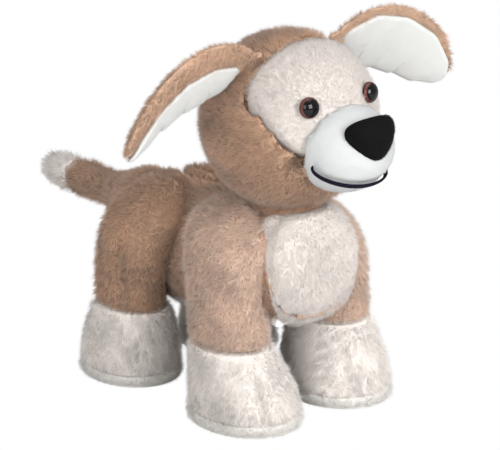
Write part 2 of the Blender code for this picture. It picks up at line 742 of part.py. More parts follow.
def make_chassis():
    half, wall = CHASSIS_HALF_WIDTH, CHASSIS_WALL
    split = TAIL_Z
    lower = box("chassis_lower", (-half, CHASSIS_FRONT, CHASSIS_LOW), (half, CHASSIS_BACK, split - FIT_GAP / 2), ABS)
    upper = box("chassis_upper", (-half, CHASSIS_FRONT, split + FIT_GAP / 2), (half, CHASSIS_BACK, CHASSIS_TOP), ABS)
    inner = half - wall
    low_room = (-inner, CHASSIS_FRONT + wall, CHASSIS_LOW + wall)
    cut(lower, box("room", low_room, (inner, CHASSIS_BACK - wall, split + 0.02)))
    cut(
        upper,
        box("room", (-inner, CHASSIS_FRONT + wall, split - 0.02), (inner, CHASSIS_BACK - wall, CHASSIS_TOP - wall)),
    )

    # Post under the neck shaft, shelf under the head motor, and ledges for the board
    bar = SHAFT_LOW - FIT_GAP - CHASSIS_LOW - wall / 2
    join(lower, cylinder("post", (0, HEAD_Y, CHASSIS_LOW + wall / 2), (0, 0, 1), 0.006, bar, None, 20))
    motor_y = HEAD_Y + MODULE * (NECK_TEETH + PINION_TEETH) / 2
    shelf_top = NECK_GEAR_Z - 0.001 - 2 * FIT_GAP - MOTOR_LENGTH
    shelf = MOTOR_HALF_WIDTH + 0.002
    shelf_low = (-shelf, motor_y - shelf, CHASSIS_LOW + wall / 2)
    join(lower, box("shelf", shelf_low, (shelf, motor_y + shelf, shelf_top)))
    for sign in (1, -1):
        ledge = sorted((sign * (BOARD_HALF_WIDTH - 0.003), sign * (half - wall / 2)))
        ledge_low = (ledge[0], BOARD_FRONT, BOARD_Z - FIT_GAP - 0.003)
        join(lower, box("ledge", ledge_low, (ledge[1], BOARD_BACK, BOARD_Z - FIT_GAP)))

    # Way in for the cells, the screw's boss, the grille and the slide's slot
    reach = CELL_PITCH * 1.5 + 0.0005
    cells = CELL_LENGTH / 2 + 0.0005
    cells_low = (-cells, CELL_MIDDLE_Y - reach, CHASSIS_LOW - 0.01)
    cut(lower, box("cell_way", cells_low, (cells, CELL_MIDDLE_Y + reach, CHASSIS_LOW + 0.01)))
    for end in (-1, 1):
        rail_y = sorted((CELL_MIDDLE_Y + end * reach, CELL_MIDDLE_Y + end * (reach + wall)))
        rail_low = (-inner - wall / 2, rail_y[0], CHASSIS_LOW + wall / 2)
        join(lower, box("rail", rail_low, (inner + wall / 2, rail_y[1], CHASSIS_LOW + CELL_RADIUS)))
    join(lower, cylinder("boss", (0, DOOR_SCREW_Y, CHASSIS_LOW + wall / 2), (0, 0, 1), 0.004, 0.014, None, 20))
    pilot = SCREW_RADIUS + FIT_GAP
    cut(lower, cylinder("pilot", (0, DOOR_SCREW_Y, CHASSIS_LOW - 0.01), (0, 0, 1), pilot, 0.022, None, 12))
    for ring, count in ((0.0, 1), (SPEAKER_RADIUS * 0.36, 5), (SPEAKER_RADIUS * 0.72, 9)):
        for k in range(count):
            angle = 2 * math.pi * k / count
            hole = (ring * math.cos(angle), SPEAKER_Y + ring * math.sin(angle), CHASSIS_LOW - 0.01)
            cut(lower, cylinder("grille", hole, (0, 0, 1), GRILLE_HOLE, 0.02, None, 6))
    slot = SWITCH_HALF - 0.001 + FIT_GAP
    slot_x = SWITCH_X - slot, SWITCH_X + SWITCH_TRAVEL + slot
    slot_low = (slot_x[0], SWITCH_Y - slot, CHASSIS_LOW - 0.01)
    cut(lower, box("slot", slot_low, (slot_x[1], SWITCH_Y + slot, CHASSIS_LOW + 0.01)))

    # Bush and button holes in the roof, then the tail's fork, a plate on each half
    cut(upper, cylinder("bush_hole", (0, HEAD_Y, 0.13), (0, 0, 1), BUSH_RADIUS + FIT_GAP, 0.05, None, 24))
    cut(upper, cylinder("button_hole", (0, BUTTON_Y, 0.13), (0, 0, 1), BUTTON_STEM + FIT_GAP, 0.05, None, 20))
    motor_hole = (0, TAIL_Y - MODULE * (SECTOR_TEETH + PINION_TEETH) / 2)
    for piece, near, far in (
        (lower, TAIL_Z - CLEVIS_HALF_GAP - CLEVIS_THICK, TAIL_Z - CLEVIS_HALF_GAP),
        (upper, TAIL_Z + CLEVIS_HALF_GAP, TAIL_Z + CLEVIS_HALF_GAP + CLEVIS_THICK),
    ):
        tongue_low = (-CLEVIS_HALF_WIDTH, CHASSIS_BACK - wall / 2, near)
        tongue = box("tongue", tongue_low, (CLEVIS_HALF_WIDTH, TAIL_Y, far))
        join(tongue, cylinder("eye", (0, TAIL_Y, near), (0, 0, 1), CLEVIS_HALF_WIDTH, far - near, None, 24))
        cut(tongue, cylinder("pin_hole", (0, TAIL_Y, 0.1), (0, 0, 1), PIN_RADIUS + FIT_GAP, 0.05, None, 16))
        shaft_hole = MOTOR_SHAFT_RADIUS + FIT_GAP
        cut(tongue, cylinder("shaft_hole", (*motor_hole, 0.1), (0, 0, 1), shaft_hole, 0.05, None, 12))
        join(piece, tongue)
    return lower, upper


def make_tail_drive():
    centre = (0.0, TAIL_Y - MODULE * (SECTOR_TEETH + PINION_TEETH) / 2)
    drive = pinion("tail_pinion", centre, SECTOR_Z, math.pi / 2 + math.pi / PINION_TEETH)
    top = TAIL_Z - CLEVIS_HALF_GAP - CLEVIS_THICK - FIT_GAP
    can = motor("tail_motor", centre, top, SECTOR_Z + GEAR_THICK - top)
    for piece in (drive, can):
        smooth(piece)


def make_power():
    for k in range(3):
        y = CELL_MIDDLE_Y + (k - 1) * CELL_PITCH
        z = CHASSIS_LOW + CHASSIS_WALL + CELL_RADIUS - 0.0015
        nub = 0.001
        start = (-CELL_LENGTH / 2, y, z)
        cell = cylinder(f"cell_{k + 1}", start, (1, 0, 0), CELL_RADIUS, CELL_LENGTH - nub, CELL, 20)
        tip = cylinder("nub", (CELL_LENGTH / 2 - 2 * nub, y, z), (1, 0, 0), CELL_RADIUS * 0.38, 2 * nub, None, 12)
        smooth(join(cell, tip))
    top = CHASSIS_LOW - FIT_GAP
    door_low = (-DOOR_HALF_WIDTH, DOOR_FRONT, top - DOOR_THICK)
    door = box("battery_door", door_low, (DOOR_HALF_WIDTH, DOOR_BACK, top), ABS)
    cut(door, cylinder("hole", (0, DOOR_SCREW_Y, top - 0.01), (0, 0, 1), SCREW_RADIUS + FIT_GAP, 0.02, None, 12))
    sink = SCREW_HEAD_RADIUS + FIT_GAP
    cut(door, cylinder("sink", (0, DOOR_SCREW_Y, top - DOOR_THICK - 0.01), (0, 0, 1), sink, 0.0112, None, 16))
    head_low = top - DOOR_THICK - FIT_GAP
    screw = cylinder("door_screw", (0, DOOR_SCREW_Y, head_low), (0, 0, 1), SCREW_HEAD_RADIUS, 0.0012, STEEL, 16)
    join(screw, cylinder("shank", (0, DOOR_SCREW_Y, head_low + 0.0006), (0, 0, 1), SCREW_RADIUS, 0.012, None, 12))
    drive_low = (-0.0004, DOOR_SCREW_Y - 0.01, head_low - 0.01)
    cut(screw, box("drive", drive_low, (0.0004, DOOR_SCREW_Y + 0.01, head_low + 0.0005)))

    board_high = (BOARD_HALF_WIDTH, BOARD_BACK, BOARD_Z + BOARD_THICK)
    board = box("circuit_board", (-BOARD_HALF_WIDTH, BOARD_FRONT, BOARD_Z), board_high, BOARD)
    for x, y, wide, long, tall in ((-0.012, -0.030, 0.010, 0.010, 0.002), (0.012, -0.012, 0.006, 0.014, 0.003)):
        chip_low = (x - wide / 2, y - long / 2, BOARD_Z + BOARD_THICK / 2)
        join(board, box("chip", chip_low, (x + wide / 2, y + long / 2, BOARD_Z + BOARD_THICK + tall)))

    floor = CHASSIS_LOW + CHASSIS_WALL + FIT_GAP
    speaker = cylinder("speaker", (0, SPEAKER_Y, floor), (0, 0, 1), SPEAKER_RADIUS, SPEAKER_DEPTH * 0.4, STEEL, 24)
    cone = SPEAKER_RADIUS * 0.55
    back = cylinder(
        "basket", (0, SPEAKER_Y, floor + SPEAKER_DEPTH * 0.3), (0, 0, 1), SPEAKER_RADIUS * 0.9, SPEAKER_DEPTH * 0.7,
        None, 24, cone,
    )
    smooth(join(speaker, back))


def make_switches():
    top = CHASSIS_TOP + BUTTON_TRAVEL + FIT_GAP
    crown = BUTTON_RADIUS * 0.92
    button = cylinder("touch_button", (0, BUTTON_Y, top), (0, 0, 1), BUTTON_RADIUS, BUTTON_CAP, ABS, 24, crown)
    stem = top - (CHASSIS_TOP - CHASSIS_WALL - 0.003)
    join(button, cylinder("stem", (0, BUTTON_Y, top - stem), (0, 0, 1), BUTTON_STEM, stem + 0.001, None, 20))
    smooth(button)
    knob_low = (SWITCH_X - SWITCH_HALF, SWITCH_Y - SWITCH_HALF, CHASSIS_LOW - FIT_GAP - 0.002)
    knob = box("power_slide", knob_low, (SWITCH_X + SWITCH_HALF, SWITCH_Y + SWITCH_HALF, CHASSIS_LOW - FIT_GAP), DARK)
    neck = SWITCH_HALF - 0.001
    neck_low = (SWITCH_X - neck, SWITCH_Y - neck, CHASSIS_LOW - 0.001)
    neck_high = (SWITCH_X + neck, SWITCH_Y + neck, CHASSIS_LOW + CHASSIS_WALL + FIT_GAP)
    join(knob, box("neck", neck_low, neck_high))


def chassis_room():
    c = FIT_GAP
    half = CHASSIS_HALF_WIDTH + c
    return box("room", (-half, CHASSIS_FRONT - c, CHASSIS_LOW - c), (half, CHASSIS_BACK + c, CHASSIS_TOP + c))


def hollow_torso(body):
    # Room for the chassis, the tail's drive, the button, the neck and the battery door
    c = FIT_GAP
    cut(body, chassis_room())
    sweep = MODULE * (SECTOR_TEETH / 2 + 2)
    low = TAIL_Z - CLEVIS_HALF_GAP - CLEVIS_THICK - MOTOR_LENGTH - 2 * c
    motor_half = MOTOR_HALF_WIDTH + c
    motor_back = TAIL_Y - MODULE * (SECTOR_TEETH + PINION_TEETH) / 2 + MOTOR_HALF_DEPTH + c
    cut(body, box("motor_room", (-motor_half, CHASSIS_BACK - 0.01, low), (motor_half, motor_back, TAIL_Z)))
    fork = CLEVIS_HALF_GAP + CLEVIS_THICK + c
    fork_room = cylinder("fork_room", (0, TAIL_Y, TAIL_Z - fork), (0, 0, 1), sweep, 2 * fork, None, 32)
    cut(body, fork_room)
    tunnel = CLEVIS_HALF_WIDTH + c
    cut(body, box("tunnel", (-tunnel, CHASSIS_BACK - 0.01, TAIL_Z - fork), (tunnel, TAIL_Y, TAIL_Z + fork)))
    rise = BUTTON_TRAVEL + BUTTON_CAP + 2 * c
    room = BUTTON_RADIUS + c
    cut(body, cylinder("button_room", (0, BUTTON_Y, CHASSIS_TOP - 0.01), (0, 0, 1), room, rise + 0.01, None, 24))
    cut(body, cylinder("neck_room", (0, HEAD_Y, CHASSIS_TOP - 0.01), (0, 0, 1), BUSH_RADIUS + RUN_GAP, 0.1, None, 24))
    door_low = (-DOOR_HALF_WIDTH - c, DOOR_FRONT - c, CHASSIS_LOW - 2 * c - DOOR_THICK)
    cut(body, box("door_room", door_low, (DOOR_HALF_WIDTH + c, DOOR_BACK + c, CHASSIS_LOW + 0.01)))
    slide_half = SWITCH_HALF + RUN_GAP
    slide_low = (SWITCH_X - slide_half, SWITCH_Y - slide_half, CHASSIS_LOW - 0.0035)
    slide_high = (SWITCH_X + SWITCH_TRAVEL + slide_half, SWITCH_Y + slide_half, CHASSIS_LOW + 0.01)
    cut(body, box("slide_room", slide_low, slide_high))


def make_torso():
    form = body_form()
    socket = (HEAD_RADIUS + RUN_GAP,) * 3
    cut(form, ellipsoid("head_socket", from_head(0, 0, 0), socket, None, 32, 16))
    make_legs(form)
    body = copy_of(form, "body_plush", TAN)
    hollow_torso(body)
    corners = (
        (0, CHEST_TOP),
        (CHEST_HALF_WIDTH, CHEST_TOP * 0.96),
        (CHEST_HALF_WIDTH, (CHEST_TOP + CHEST_LOW) / 2),
        (CHEST_HALF_WIDTH * 0.72, CHEST_LOW + CHEST_CORNER),
        (0, CHEST_LOW),
        (-CHEST_HALF_WIDTH * 0.72, CHEST_LOW + CHEST_CORNER),
        (-CHEST_HALF_WIDTH, (CHEST_TOP + CHEST_LOW) / 2),
        (-CHEST_HALF_WIDTH, CHEST_TOP * 0.96),
    )
    chest = copy_of(form, "chest_panel", CREAM)
    belly = copy_of(form, "belly_panel", CREAM)
    belly_low = (-BELLY_HALF_WIDTH, BELLY_FRONT, 0.0)
    for panel, outline in (
        (chest, prism_along_y("chest_outline", corners, BODY_FRONT * 1.5, CHEST_DEPTH_Y)),
        (belly, box("belly_outline", belly_low, (BELLY_HALF_WIDTH, BELLY_BACK, BELLY_TOP))),
    ):
        cut(body, grown(outline, SEAM_GAP))
        smooth(keep_inside(panel, outline))
    cut(chest, chassis_room())
    smooth(body)
    bpy.data.objects.remove(form, do_unlink=True)
    return body


def hollow_head(head, face):
    # Seat for the head plate, opened below by the shaft's way in
    c = FIT_GAP
    deep = PLATE_THICK + 3 * c
    for piece in (head, face):
        seat = cylinder("plate_room", (0, HEAD_Y, PLATE_Z - c), (0, 0, 1), PLATE_RADIUS + c, deep + c, None, 28)
        cut(piece, seat)
    way = SHAFT_RADIUS + RUN_GAP
    foot = (0, HEAD_Y, HEAD_Z - 2 * HEAD_RADIUS)
    cut(head, cylinder("shaft_room", foot, (0, 0, 1), way, HEAD_RADIUS * 1.6, None, 24))


clear_scene()
PARTS = collection("plush_dog")
CUTTERS = collection("cutters")
TAN = material("tan_pile", (0.51, 0.32, 0.20), 0.95)
CREAM = material("cream_pile", (0.80, 0.72, 0.64), 0.95)
WHITE = material("white_fleece", (0.84, 0.85, 0.82), 0.95)
BLACK = material("black_velour", (0.006, 0.005, 0.007), 0.7)
DARK = material("dark_abs", (0.005, 0.005, 0.006), 0.5)
MOUTH = material("dark_thread", (0.012, 0.010, 0.020), 0.8)
EYE = material("eye_plastic", (0.02, 0.012, 0.010), 0.1)
ABS = material("moulded_abs", (0.62, 0.63, 0.65), 0.45)
STEEL = material("plated_steel", (0.55, 0.56, 0.58), 0.3, 1.0)
BRASS = material("brass", (0.66, 0.45, 0.16), 0.3, 1.0)
CELL = material("cell_jacket", (0.05, 0.08, 0.14), 0.35)
BOARD = material("board_resin", (0.03, 0.16, 0.07), 0.5)

body_piece = make_torso()
head_piece, face_piece = make_head()
make_ears((head_piece, face_piece))
hollow_head(head_piece, face_piece)
smooth(head_piece)
smooth(face_piece)
for turning in bpy.data.objects:
    if turning.name in ("head_plush", "face_patch", "muzzle", "nose", "mouth_line"):
        set_origin(turning, (0, HEAD_Y, HEAD_Z))
make_tail(body_piece)
make_tail_drive()
make_neck()
make_chassis()
make_power()
make_switches()
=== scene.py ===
# A plush dog on a plain white floor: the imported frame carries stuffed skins, a sewn face and a pile of strands.
import json
import math

import bmesh
import bpy
import numpy as np
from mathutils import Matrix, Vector
from mathutils.bvhtree import BVHTree
from mathutils.kdtree import KDTree


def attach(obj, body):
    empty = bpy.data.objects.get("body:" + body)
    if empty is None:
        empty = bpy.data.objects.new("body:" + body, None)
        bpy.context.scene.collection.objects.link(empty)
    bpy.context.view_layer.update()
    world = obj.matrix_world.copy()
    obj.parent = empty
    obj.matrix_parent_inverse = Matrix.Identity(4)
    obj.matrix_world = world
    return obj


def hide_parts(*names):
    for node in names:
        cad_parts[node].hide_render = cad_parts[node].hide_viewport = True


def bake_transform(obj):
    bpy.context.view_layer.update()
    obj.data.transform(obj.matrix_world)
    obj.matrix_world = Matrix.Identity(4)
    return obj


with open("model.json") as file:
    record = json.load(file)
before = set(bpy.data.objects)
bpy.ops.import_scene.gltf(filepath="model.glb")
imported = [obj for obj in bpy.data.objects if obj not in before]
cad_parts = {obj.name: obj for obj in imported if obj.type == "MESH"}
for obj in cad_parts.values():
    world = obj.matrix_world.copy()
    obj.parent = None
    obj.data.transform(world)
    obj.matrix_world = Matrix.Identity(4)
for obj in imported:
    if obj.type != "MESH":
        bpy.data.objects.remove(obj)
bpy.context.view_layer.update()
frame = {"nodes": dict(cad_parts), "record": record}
nodes = frame["nodes"]
bodyOf = {n: body for body, members in frame["record"]["behaviour"]["bodies"].items() for n in members}
slotOf = {s["node"]: s["material_slot"] for s in frame["record"]["subparts"]}
headCentre = np.array((0.0, -0.1027, 0.242))
headRadius = 0.0725
muzzleCentre = headCentre + (0.0, -0.058, -0.007)
noseTip = headCentre + (0, -0.11, 0.0)


def linear(code):
    values = [int(code[k:k + 2], 16) / 255 for k in (0, 2, 4)]
    return tuple(v / 12.92 if v <= 0.04045 else ((v + 0.055) / 1.055) ** 2.4 for v in values)


def addNode(tree, kind, values=None, **links):
    made = tree.nodes.new(kind)
    for name, value in (values or {}).items():
        made.inputs[name].default_value = value
    for name, source in links.items():
        tree.links.new(source, made.inputs[name.replace("_", " ")])
    return made


def newMaterial(name):
    made = bpy.data.materials.new(name)
    made.use_nodes = True
    made.node_tree.nodes.clear()
    return made, made.node_tree


def pileMaterial(name, sheen, through=0.4):
    # Polyester pile: colour by strand, dull, with some light let through
    made, tree = newMaterial(name)
    tint = addNode(tree, "ShaderNodeAttribute")
    tint.attribute_name = "tint"
    look = {"Roughness": 0.85, "Sheen Weight": sheen, "Sheen Roughness": 0.5, "Specular IOR Level": 0.2}
    dull = addNode(tree, "ShaderNodeBsdfPrincipled", look, Base_Color=tint.outputs["Color"])
    glow = addNode(tree, "ShaderNodeBsdfTranslucent", Color=tint.outputs["Color"])
    mixed = addNode(tree, "ShaderNodeMixShader", {"Fac": through})
    tree.links.new(dull.outputs[0], mixed.inputs[1])
    tree.links.new(glow.outputs[0], mixed.inputs[2])
    addNode(tree, "ShaderNodeOutputMaterial", Surface=mixed.outputs[0])
    return made


def plainMaterial(name, code, roughness, shine):
    made, tree = newMaterial(name)
    look = {"Base Color": (*linear(code), 1), "Roughness": roughness, "Specular IOR Level": shine}
    body = addNode(tree, "ShaderNodeBsdfPrincipled", look)
    addNode(tree, "ShaderNodeOutputMaterial", Surface=body.outputs[0])
    return made


def meshFrom(name, points, faces):
    mesh = bpy.data.meshes.new(name)
    points = np.asarray(points, np.float32)
    faces = np.asarray(faces, np.int32)
    count, sides = faces.shape
    mesh.vertices.add(len(points))
    mesh.vertices.foreach_set("co", points.ravel())
    mesh.loops.add(count * sides)
    mesh.loops.foreach_set("vertex_index", faces.ravel())
    mesh.polygons.add(count)
    mesh.polygons.foreach_set("loop_start", np.arange(0, count * sides, sides, dtype=np.int32))
    mesh.update(calc_edges=True)
    made = bpy.data.objects.new(name, mesh)
    bpy.context.scene.collection.objects.link(made)
    return made


def setTint(obj, colours):
    layer = obj.data.attributes.new("tint", "FLOAT_COLOR", "POINT")
    full = np.ones((len(colours), 4), np.float32)
    full[:, :3] = colours
    layer.data.foreach_set("color", full.ravel())


def readPoints(mesh):
    co = np.empty(len(mesh.vertices) * 3, np.float32)
    mesh.vertices.foreach_get("co", co)
    return co.reshape(-1, 3).astype(float)


def writePoints(mesh, points):
    mesh.vertices.foreach_set("co", np.asarray(points, np.float32).ravel())
    mesh.update()


def unit(v):
    return v / np.maximum(np.linalg.norm(v, axis=-1, keepdims=True), 1e-9)


def applied(obj):
    graph = bpy.context.evaluated_depsgraph_get()
    mesh = bpy.data.meshes.new_from_object(obj.evaluated_get(graph))
    obj.modifiers.clear()
    obj.data = mesh


clothSpec = dict(pressure=4, mass=0.2, stiffness=30, lastFrame=14)


def settle(obj, reach):
    # Cloth under a light inner pressure, so that the cover swells by no more than the reach
    still = readPoints(obj.data)
    cloth = obj.modifiers.new("cloth", "CLOTH")
    settings = cloth.settings
    settings.use_pressure = True
    settings.uniform_pressure_force = clothSpec["pressure"]
    settings.effector_weights.gravity = 0
    settings.mass = clothSpec["mass"]
    settings.tension_stiffness = settings.compression_stiffness = clothSpec["stiffness"]
    scene = bpy.context.scene
    cloth.point_cache.frame_start, cloth.point_cache.frame_end = 1, clothSpec["lastFrame"]
    for moment in range(1, clothSpec["lastFrame"] + 1):
        scene.frame_set(moment)
    applied(obj)
    move = readPoints(obj.data) - still
    far = np.linalg.norm(move, axis=1, keepdims=True)
    writePoints(obj.data, still + move * np.minimum(1, reach / np.maximum(far, 1e-9)))
    scene.frame_set(1)


def treeOf(objects):
    points, faces, base = [], [], 0
    for o in objects:
        points += [v.co.copy() for v in o.data.vertices]
        faces += [[base + i for i in p.vertices] for p in o.data.polygons]
        base = len(points)
    return BVHTree.FromPolygons(points, faces)


def exposure(mesh, others, start=0.0004, reach=0.3, closeBy=0.0025):
    # True for each face that lies outside every other piece and has nothing close above it
    shown = np.zeros(len(mesh.polygons), bool)
    for p in mesh.polygons:
        place, normal, _, distance = others.ray_cast(p.center + p.normal * start, p.normal, reach)
        shown[p.index] = place is None or (normal.dot(p.normal) < 0 and distance > closeBy)
    return shown


def fold(points, normals, line, width, depth):
    # Presses a crease into a skin along a line of points
    line = [np.array(p) for p in line]
    near = np.full(len(points), 9.0)
    for a, b in zip(line, line[1:]):
        d = b - a
        t = np.clip(((points - a) @ d) / (d @ d), 0, 1)
        near = np.minimum(near, np.linalg.norm(points - (a + t[:, None] * d), axis=1))
    return points - normals * (depth * np.exp(-(near / width) ** 2))[:, None]


def surface(name, points):
    # A closed skin over a grid of points: rows run round, columns from pole to pole
    rows, columns = points.shape[:2]
    faces = []
    for i in range(rows):
        for j in range(columns - 1):
            n = (i + 1) % rows
            faces.append((i * columns + j, n * columns + j, n * columns + j + 1, i * columns + j + 1))
    made = meshFrom(name, points.reshape(-1, 3), faces)
    work = bmesh.new()
    work.from_mesh(made.data)
    bmesh.ops.remove_doubles(work, verts=work.verts, dist=0.00001)
    bmesh.ops.recalc_face_normals(work, faces=work.faces)
    work.to_mesh(made.data)
    work.free()
    made.data.shade_smooth()
    return made


def column(name, sign, stations, rings=48, around=48, rounds=5):
    # A stuffed limb through oval stations: height, side, fore and aft, half width, half length
    stations = np.array(stations)
    at = np.linspace(0, len(stations) - 1, rings)
    rows = np.stack([np.interp(at, np.arange(len(stations)), c) for c in stations.T], axis=1)
    for _ in range(rounds):
        rows[1:-1] = (rows[:-2] + 2 * rows[1:-1] + rows[2:]) / 4
    turn = np.linspace(0, 2 * np.pi, around, endpoint=False)[:, None]
    z, x, y, halfWidth, halfLength = rows.T
    grid = [sign * x + np.cos(turn) * halfWidth, y + np.sin(turn) * halfLength, z + 0 * turn]
    return surface(name, np.stack(grid, axis=-1))


def stuffed(node, voxel=0.0045, swell=0.0015, soft=5, reshape=None):
    # The node's own shape as one even skin, softened and swollen
    skin = bpy.data.objects.new("skin_" + node, nodes[node].data.copy())
    bpy.context.scene.collection.objects.link(skin)
    work = bmesh.new()
    work.from_mesh(skin.data)
    bmesh.ops.remove_doubles(work, verts=work.verts, dist=0.00002)
    work.to_mesh(skin.data)
    work.free()
    remesh = skin.modifiers.new("remesh", "REMESH")
    remesh.mode = "VOXEL"
    remesh.voxel_size = voxel
    soften = skin.modifiers.new("soften", "SMOOTH")
    soften.factor, soften.iterations = 0.5, soft
    applied(skin)
    settle(skin, swell)
    if reshape:
        writePoints(skin.data, reshape(readPoints(skin.data)))
    return skin


def bib(name, under, spec, tallCount=44, wideCount=40, reach=0.2):
    # A sewn panel laid over the chest: its outline by elevation and half turn, seen from a point inside the body
    eye = Vector(spec["centre"])
    t = np.linspace(0, 1, tallCount)
    tall = np.radians(np.interp(t, np.linspace(0, 1, len(spec["elevation"])), spec["elevation"]))
    wide = np.radians(np.interp(t, np.linspace(0, 1, len(spec["halfTurn"])), spec["halfTurn"]))
    wide = wide * np.sqrt(np.clip(1 - np.abs(2 * t - 1) ** spec["cornerPower"], 0, 1))
    shares = np.sin(np.linspace(-1, 1, wideCount) * np.pi / 2)
    # The front thins towards the sewn edge, and the back lies sunk by the thickness
    layers = [(u, spec["lift"] * (1 - abs(u) ** spec["edgePower"])) for u in shares]
    layers += [(u, -spec["thick"]) for u in shares[::-1]]
    rows = []
    for u, height in layers:
        row = []
        for el, half in zip(tall, wide):
            flat = math.cos(el)
            way = Vector((math.sin(u * half) * flat, -math.cos(u * half) * flat, math.sin(el)))
            place = under.ray_cast(eye + way * reach, -way, reach)[0]
            row.append(place + way * height)
        rows.append(row)
    made = surface(name, np.array(rows))
    soften = made.modifiers.new("soften", "SMOOTH")
    soften.factor, soften.iterations = 0.5, 10
    applied(made)
    return made


def finish(node, skin, others, inset, folds=(), finer=False, mask=None, rimRounds=3):
    # Draws the shown faces in by the depth of the pile, presses the folds and hands the skin to the frame
    mesh = skin.data
    shown = exposure(mesh, others)
    if mask:
        shown = [mask(np.array(p.center), np.array(p.normal), shown[p.index]) for p in mesh.polygons]
        shown = np.array(shown)
    points = readPoints(mesh)
    outward = np.zeros_like(points)
    for p in mesh.polygons:
        if shown[p.index]:
            for i in p.vertices:
                outward[i] += np.array(p.normal) * p.area
    outward = unit(outward)
    edges = np.array([e.vertices[:] for e in mesh.edges])
    bare = np.linalg.norm(outward, axis=1) < 0.5
    for _ in range(rimRounds):
        # The hidden rim beside the shown faces goes in with them, so that no lip stands at a seam
        gathered = np.zeros_like(outward)
        np.add.at(gathered, edges[:, 0], outward[edges[:, 1]])
        np.add.at(gathered, edges[:, 1], outward[edges[:, 0]])
        reached = bare & (np.linalg.norm(gathered, axis=1) > 0.5)
        outward[reached] = unit(gathered[reached])
        bare &= ~reached
    points = points - outward * inset
    for line, width, depth in folds:
        points = fold(points, outward, line, width, depth)
    writePoints(mesh, points)
    if finer:
        split = skin.modifiers.new("finer", "SUBSURF")
        split.levels = split.render_levels = 1
        applied(skin)
        shown = exposure(skin.data, others)
    skin.data.shade_smooth()
    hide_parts(node)
    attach(skin, bodyOf[node])
    return shown


# What every pile shares: strands in a tuft, depth of the roots, strands in a mesh, and the swirls that nap brushes
# in, which turn the lay and also paint the pile lighter and darker as painted sheen and shade
pileSpec = dict(tuft=16, rootDepth=0.0012, floorGap=0.0006, stray=0.16, strayShade=0.05, mostInMesh=48000,
                waves=7, waveLength=(0.018, 0.055), waveScale=2.6, waveTurn=4)


def growPile(skin, shown, name, rng, body, slot, layOf, material, colour, shadedRootColour, perCm, length, thick, lean,
             clump, spread=0.06, nap=0.0, across=None):
    # Fine closed spikes on the shown faces, leaning with the lay and drawn together in tufts
    mesh = skin.data
    mesh.calc_loop_triangles()
    tri = np.array([t.vertices[:] for t in mesh.loop_triangles if shown[t.polygon_index]])
    points = readPoints(mesh)
    a, b, c = (points[tri[:, k]] for k in range(3))
    cross = np.cross(b - a, c - a)
    area = np.linalg.norm(cross, axis=1) / 2
    count = int(area.sum() * 1e4 * perCm)
    pick = rng.choice(len(tri), count, p=area / area.sum())
    u, v = rng.random(count), rng.random(count)
    flip = u + v > 1
    u[flip], v[flip] = 1 - u[flip], 1 - v[flip]
    foot = a[pick] + (b - a)[pick] * u[:, None] + (c - a)[pick] * v[:, None]
    vertexNormal = np.array([n.vector for n in mesh.vertex_normals])
    w = (1 - u - v)[:, None]
    normal = unit(vertexNormal[tri[pick, 0]] * w + vertexNormal[tri[pick, 1]] * u[:, None]
                  + vertexNormal[tri[pick, 2]] * v[:, None])
    lay = layOf(foot)
    lay = unit(lay - normal * (lay * normal).sum(1)[:, None])
    many = pileSpec["waves"]
    waves = unit(rng.normal(size=(many, 3))) * (2 * np.pi / rng.uniform(*pileSpec["waveLength"], (many, 1)))
    brushAndSheen = np.sin(foot @ waves.T + rng.uniform(0, 6.28, many)).sum(1)
    brushAndSheen = (brushAndSheen / pileSpec["waveScale"])[:, None]
    swirl = pileSpec["waveTurn"] * nap * brushAndSheen
    lay = lay * np.cos(swirl) + np.cross(normal, lay) * np.sin(swirl)
    tufts = max(1, count // pileSpec["tuft"])
    heart = rng.choice(count, tufts, replace=False)
    finder = KDTree(tufts)
    for k, i in enumerate(heart):
        finder.insert(foot[i], k)
    finder.balance()
    mine = np.array([finder.find(p)[1] for p in foot])
    tuftLean = lean * (0.7 + 0.6 * rng.random(tufts))
    tuftTurn = rng.normal(0, 0.7 * clump, (tufts, 3))
    way = normal + (lay + tuftTurn[mine]) * tuftLean[mine][:, None]
    way = unit(way + rng.normal(0, pileSpec["stray"], (count, 3)))
    long = length * (0.75 + 0.4 * rng.random(count))[:, None]
    tip = foot + way * long
    gathered = foot[heart][mine] + way * long
    tip = tip + (gathered - tip) * clump * (0.5 + 0.5 * rng.random(count))[:, None]
    tip[:, 2] = np.maximum(tip[:, 2], pileSpec["floorGap"])
    side = unit(np.cross(way, rng.normal(size=(count, 3))))
    other = np.cross(way, side)
    root = foot - normal * pileSpec["rootDepth"]
    ring = [root + (side * math.cos(t) + other * math.sin(t)) * thick for t in (0, 2.094, 4.189)]
    stalk = np.stack([*ring, tip], axis=1)
    shade = (1 + spread * rng.normal(size=(tufts, 1)))[mine]
    shade = shade * (1 + pileSpec["strayShade"] * rng.normal(size=(count, 1)))
    # Tone varies at random from tuft to tuft and strand to strand as the fabric's own; the nap term paints the swirls
    # lighter and darker, painted sheen and shade where the brushed pile catches the light
    shade = np.clip(shade * (1 + nap * brushAndSheen), 0.6, 1.3)
    # Strands run from the darker root colour, painted shade deep in the pile, to the plain colour at the tip
    low, high = np.array(linear(shadedRootColour)) * shade, np.minimum(np.array(linear(colour)) * shade, 1)
    tints = np.stack([low, low, low, high], axis=1)
    parts = math.ceil(count / pileSpec["mostInMesh"])
    for part in range(parts):
        share = slice(part, count, parts)
        base = 4 * np.arange(len(stalk[share]))[:, None]
        faces = np.concatenate([base + f for f in ((0, 1, 3), (1, 2, 3), (2, 0, 3), (2, 1, 0))])
        pile = meshFrom(f"{name}_{part}" if parts > 1 else name, stalk[share].reshape(-1, 3), faces)
        setTint(pile, tints[share].reshape(-1, 3))
        pile.data.materials.append(material)
        if across:
            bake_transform(pile)
        else:
            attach(pile, body)
    return count


def towards(*direction):
    return lambda p: np.tile(np.array(direction, float), (len(p), 1))


def awayFromNose(p):
    return p - noseTip


tanPile = pileMaterial("tan_polyester_pile", 0.25)
creamPile = pileMaterial("cream_polyester_pile", 0.25)
whiteFleece = pileMaterial("white_fleece", 0.15)
blackVelour = pileMaterial("black_velour", 0.0)
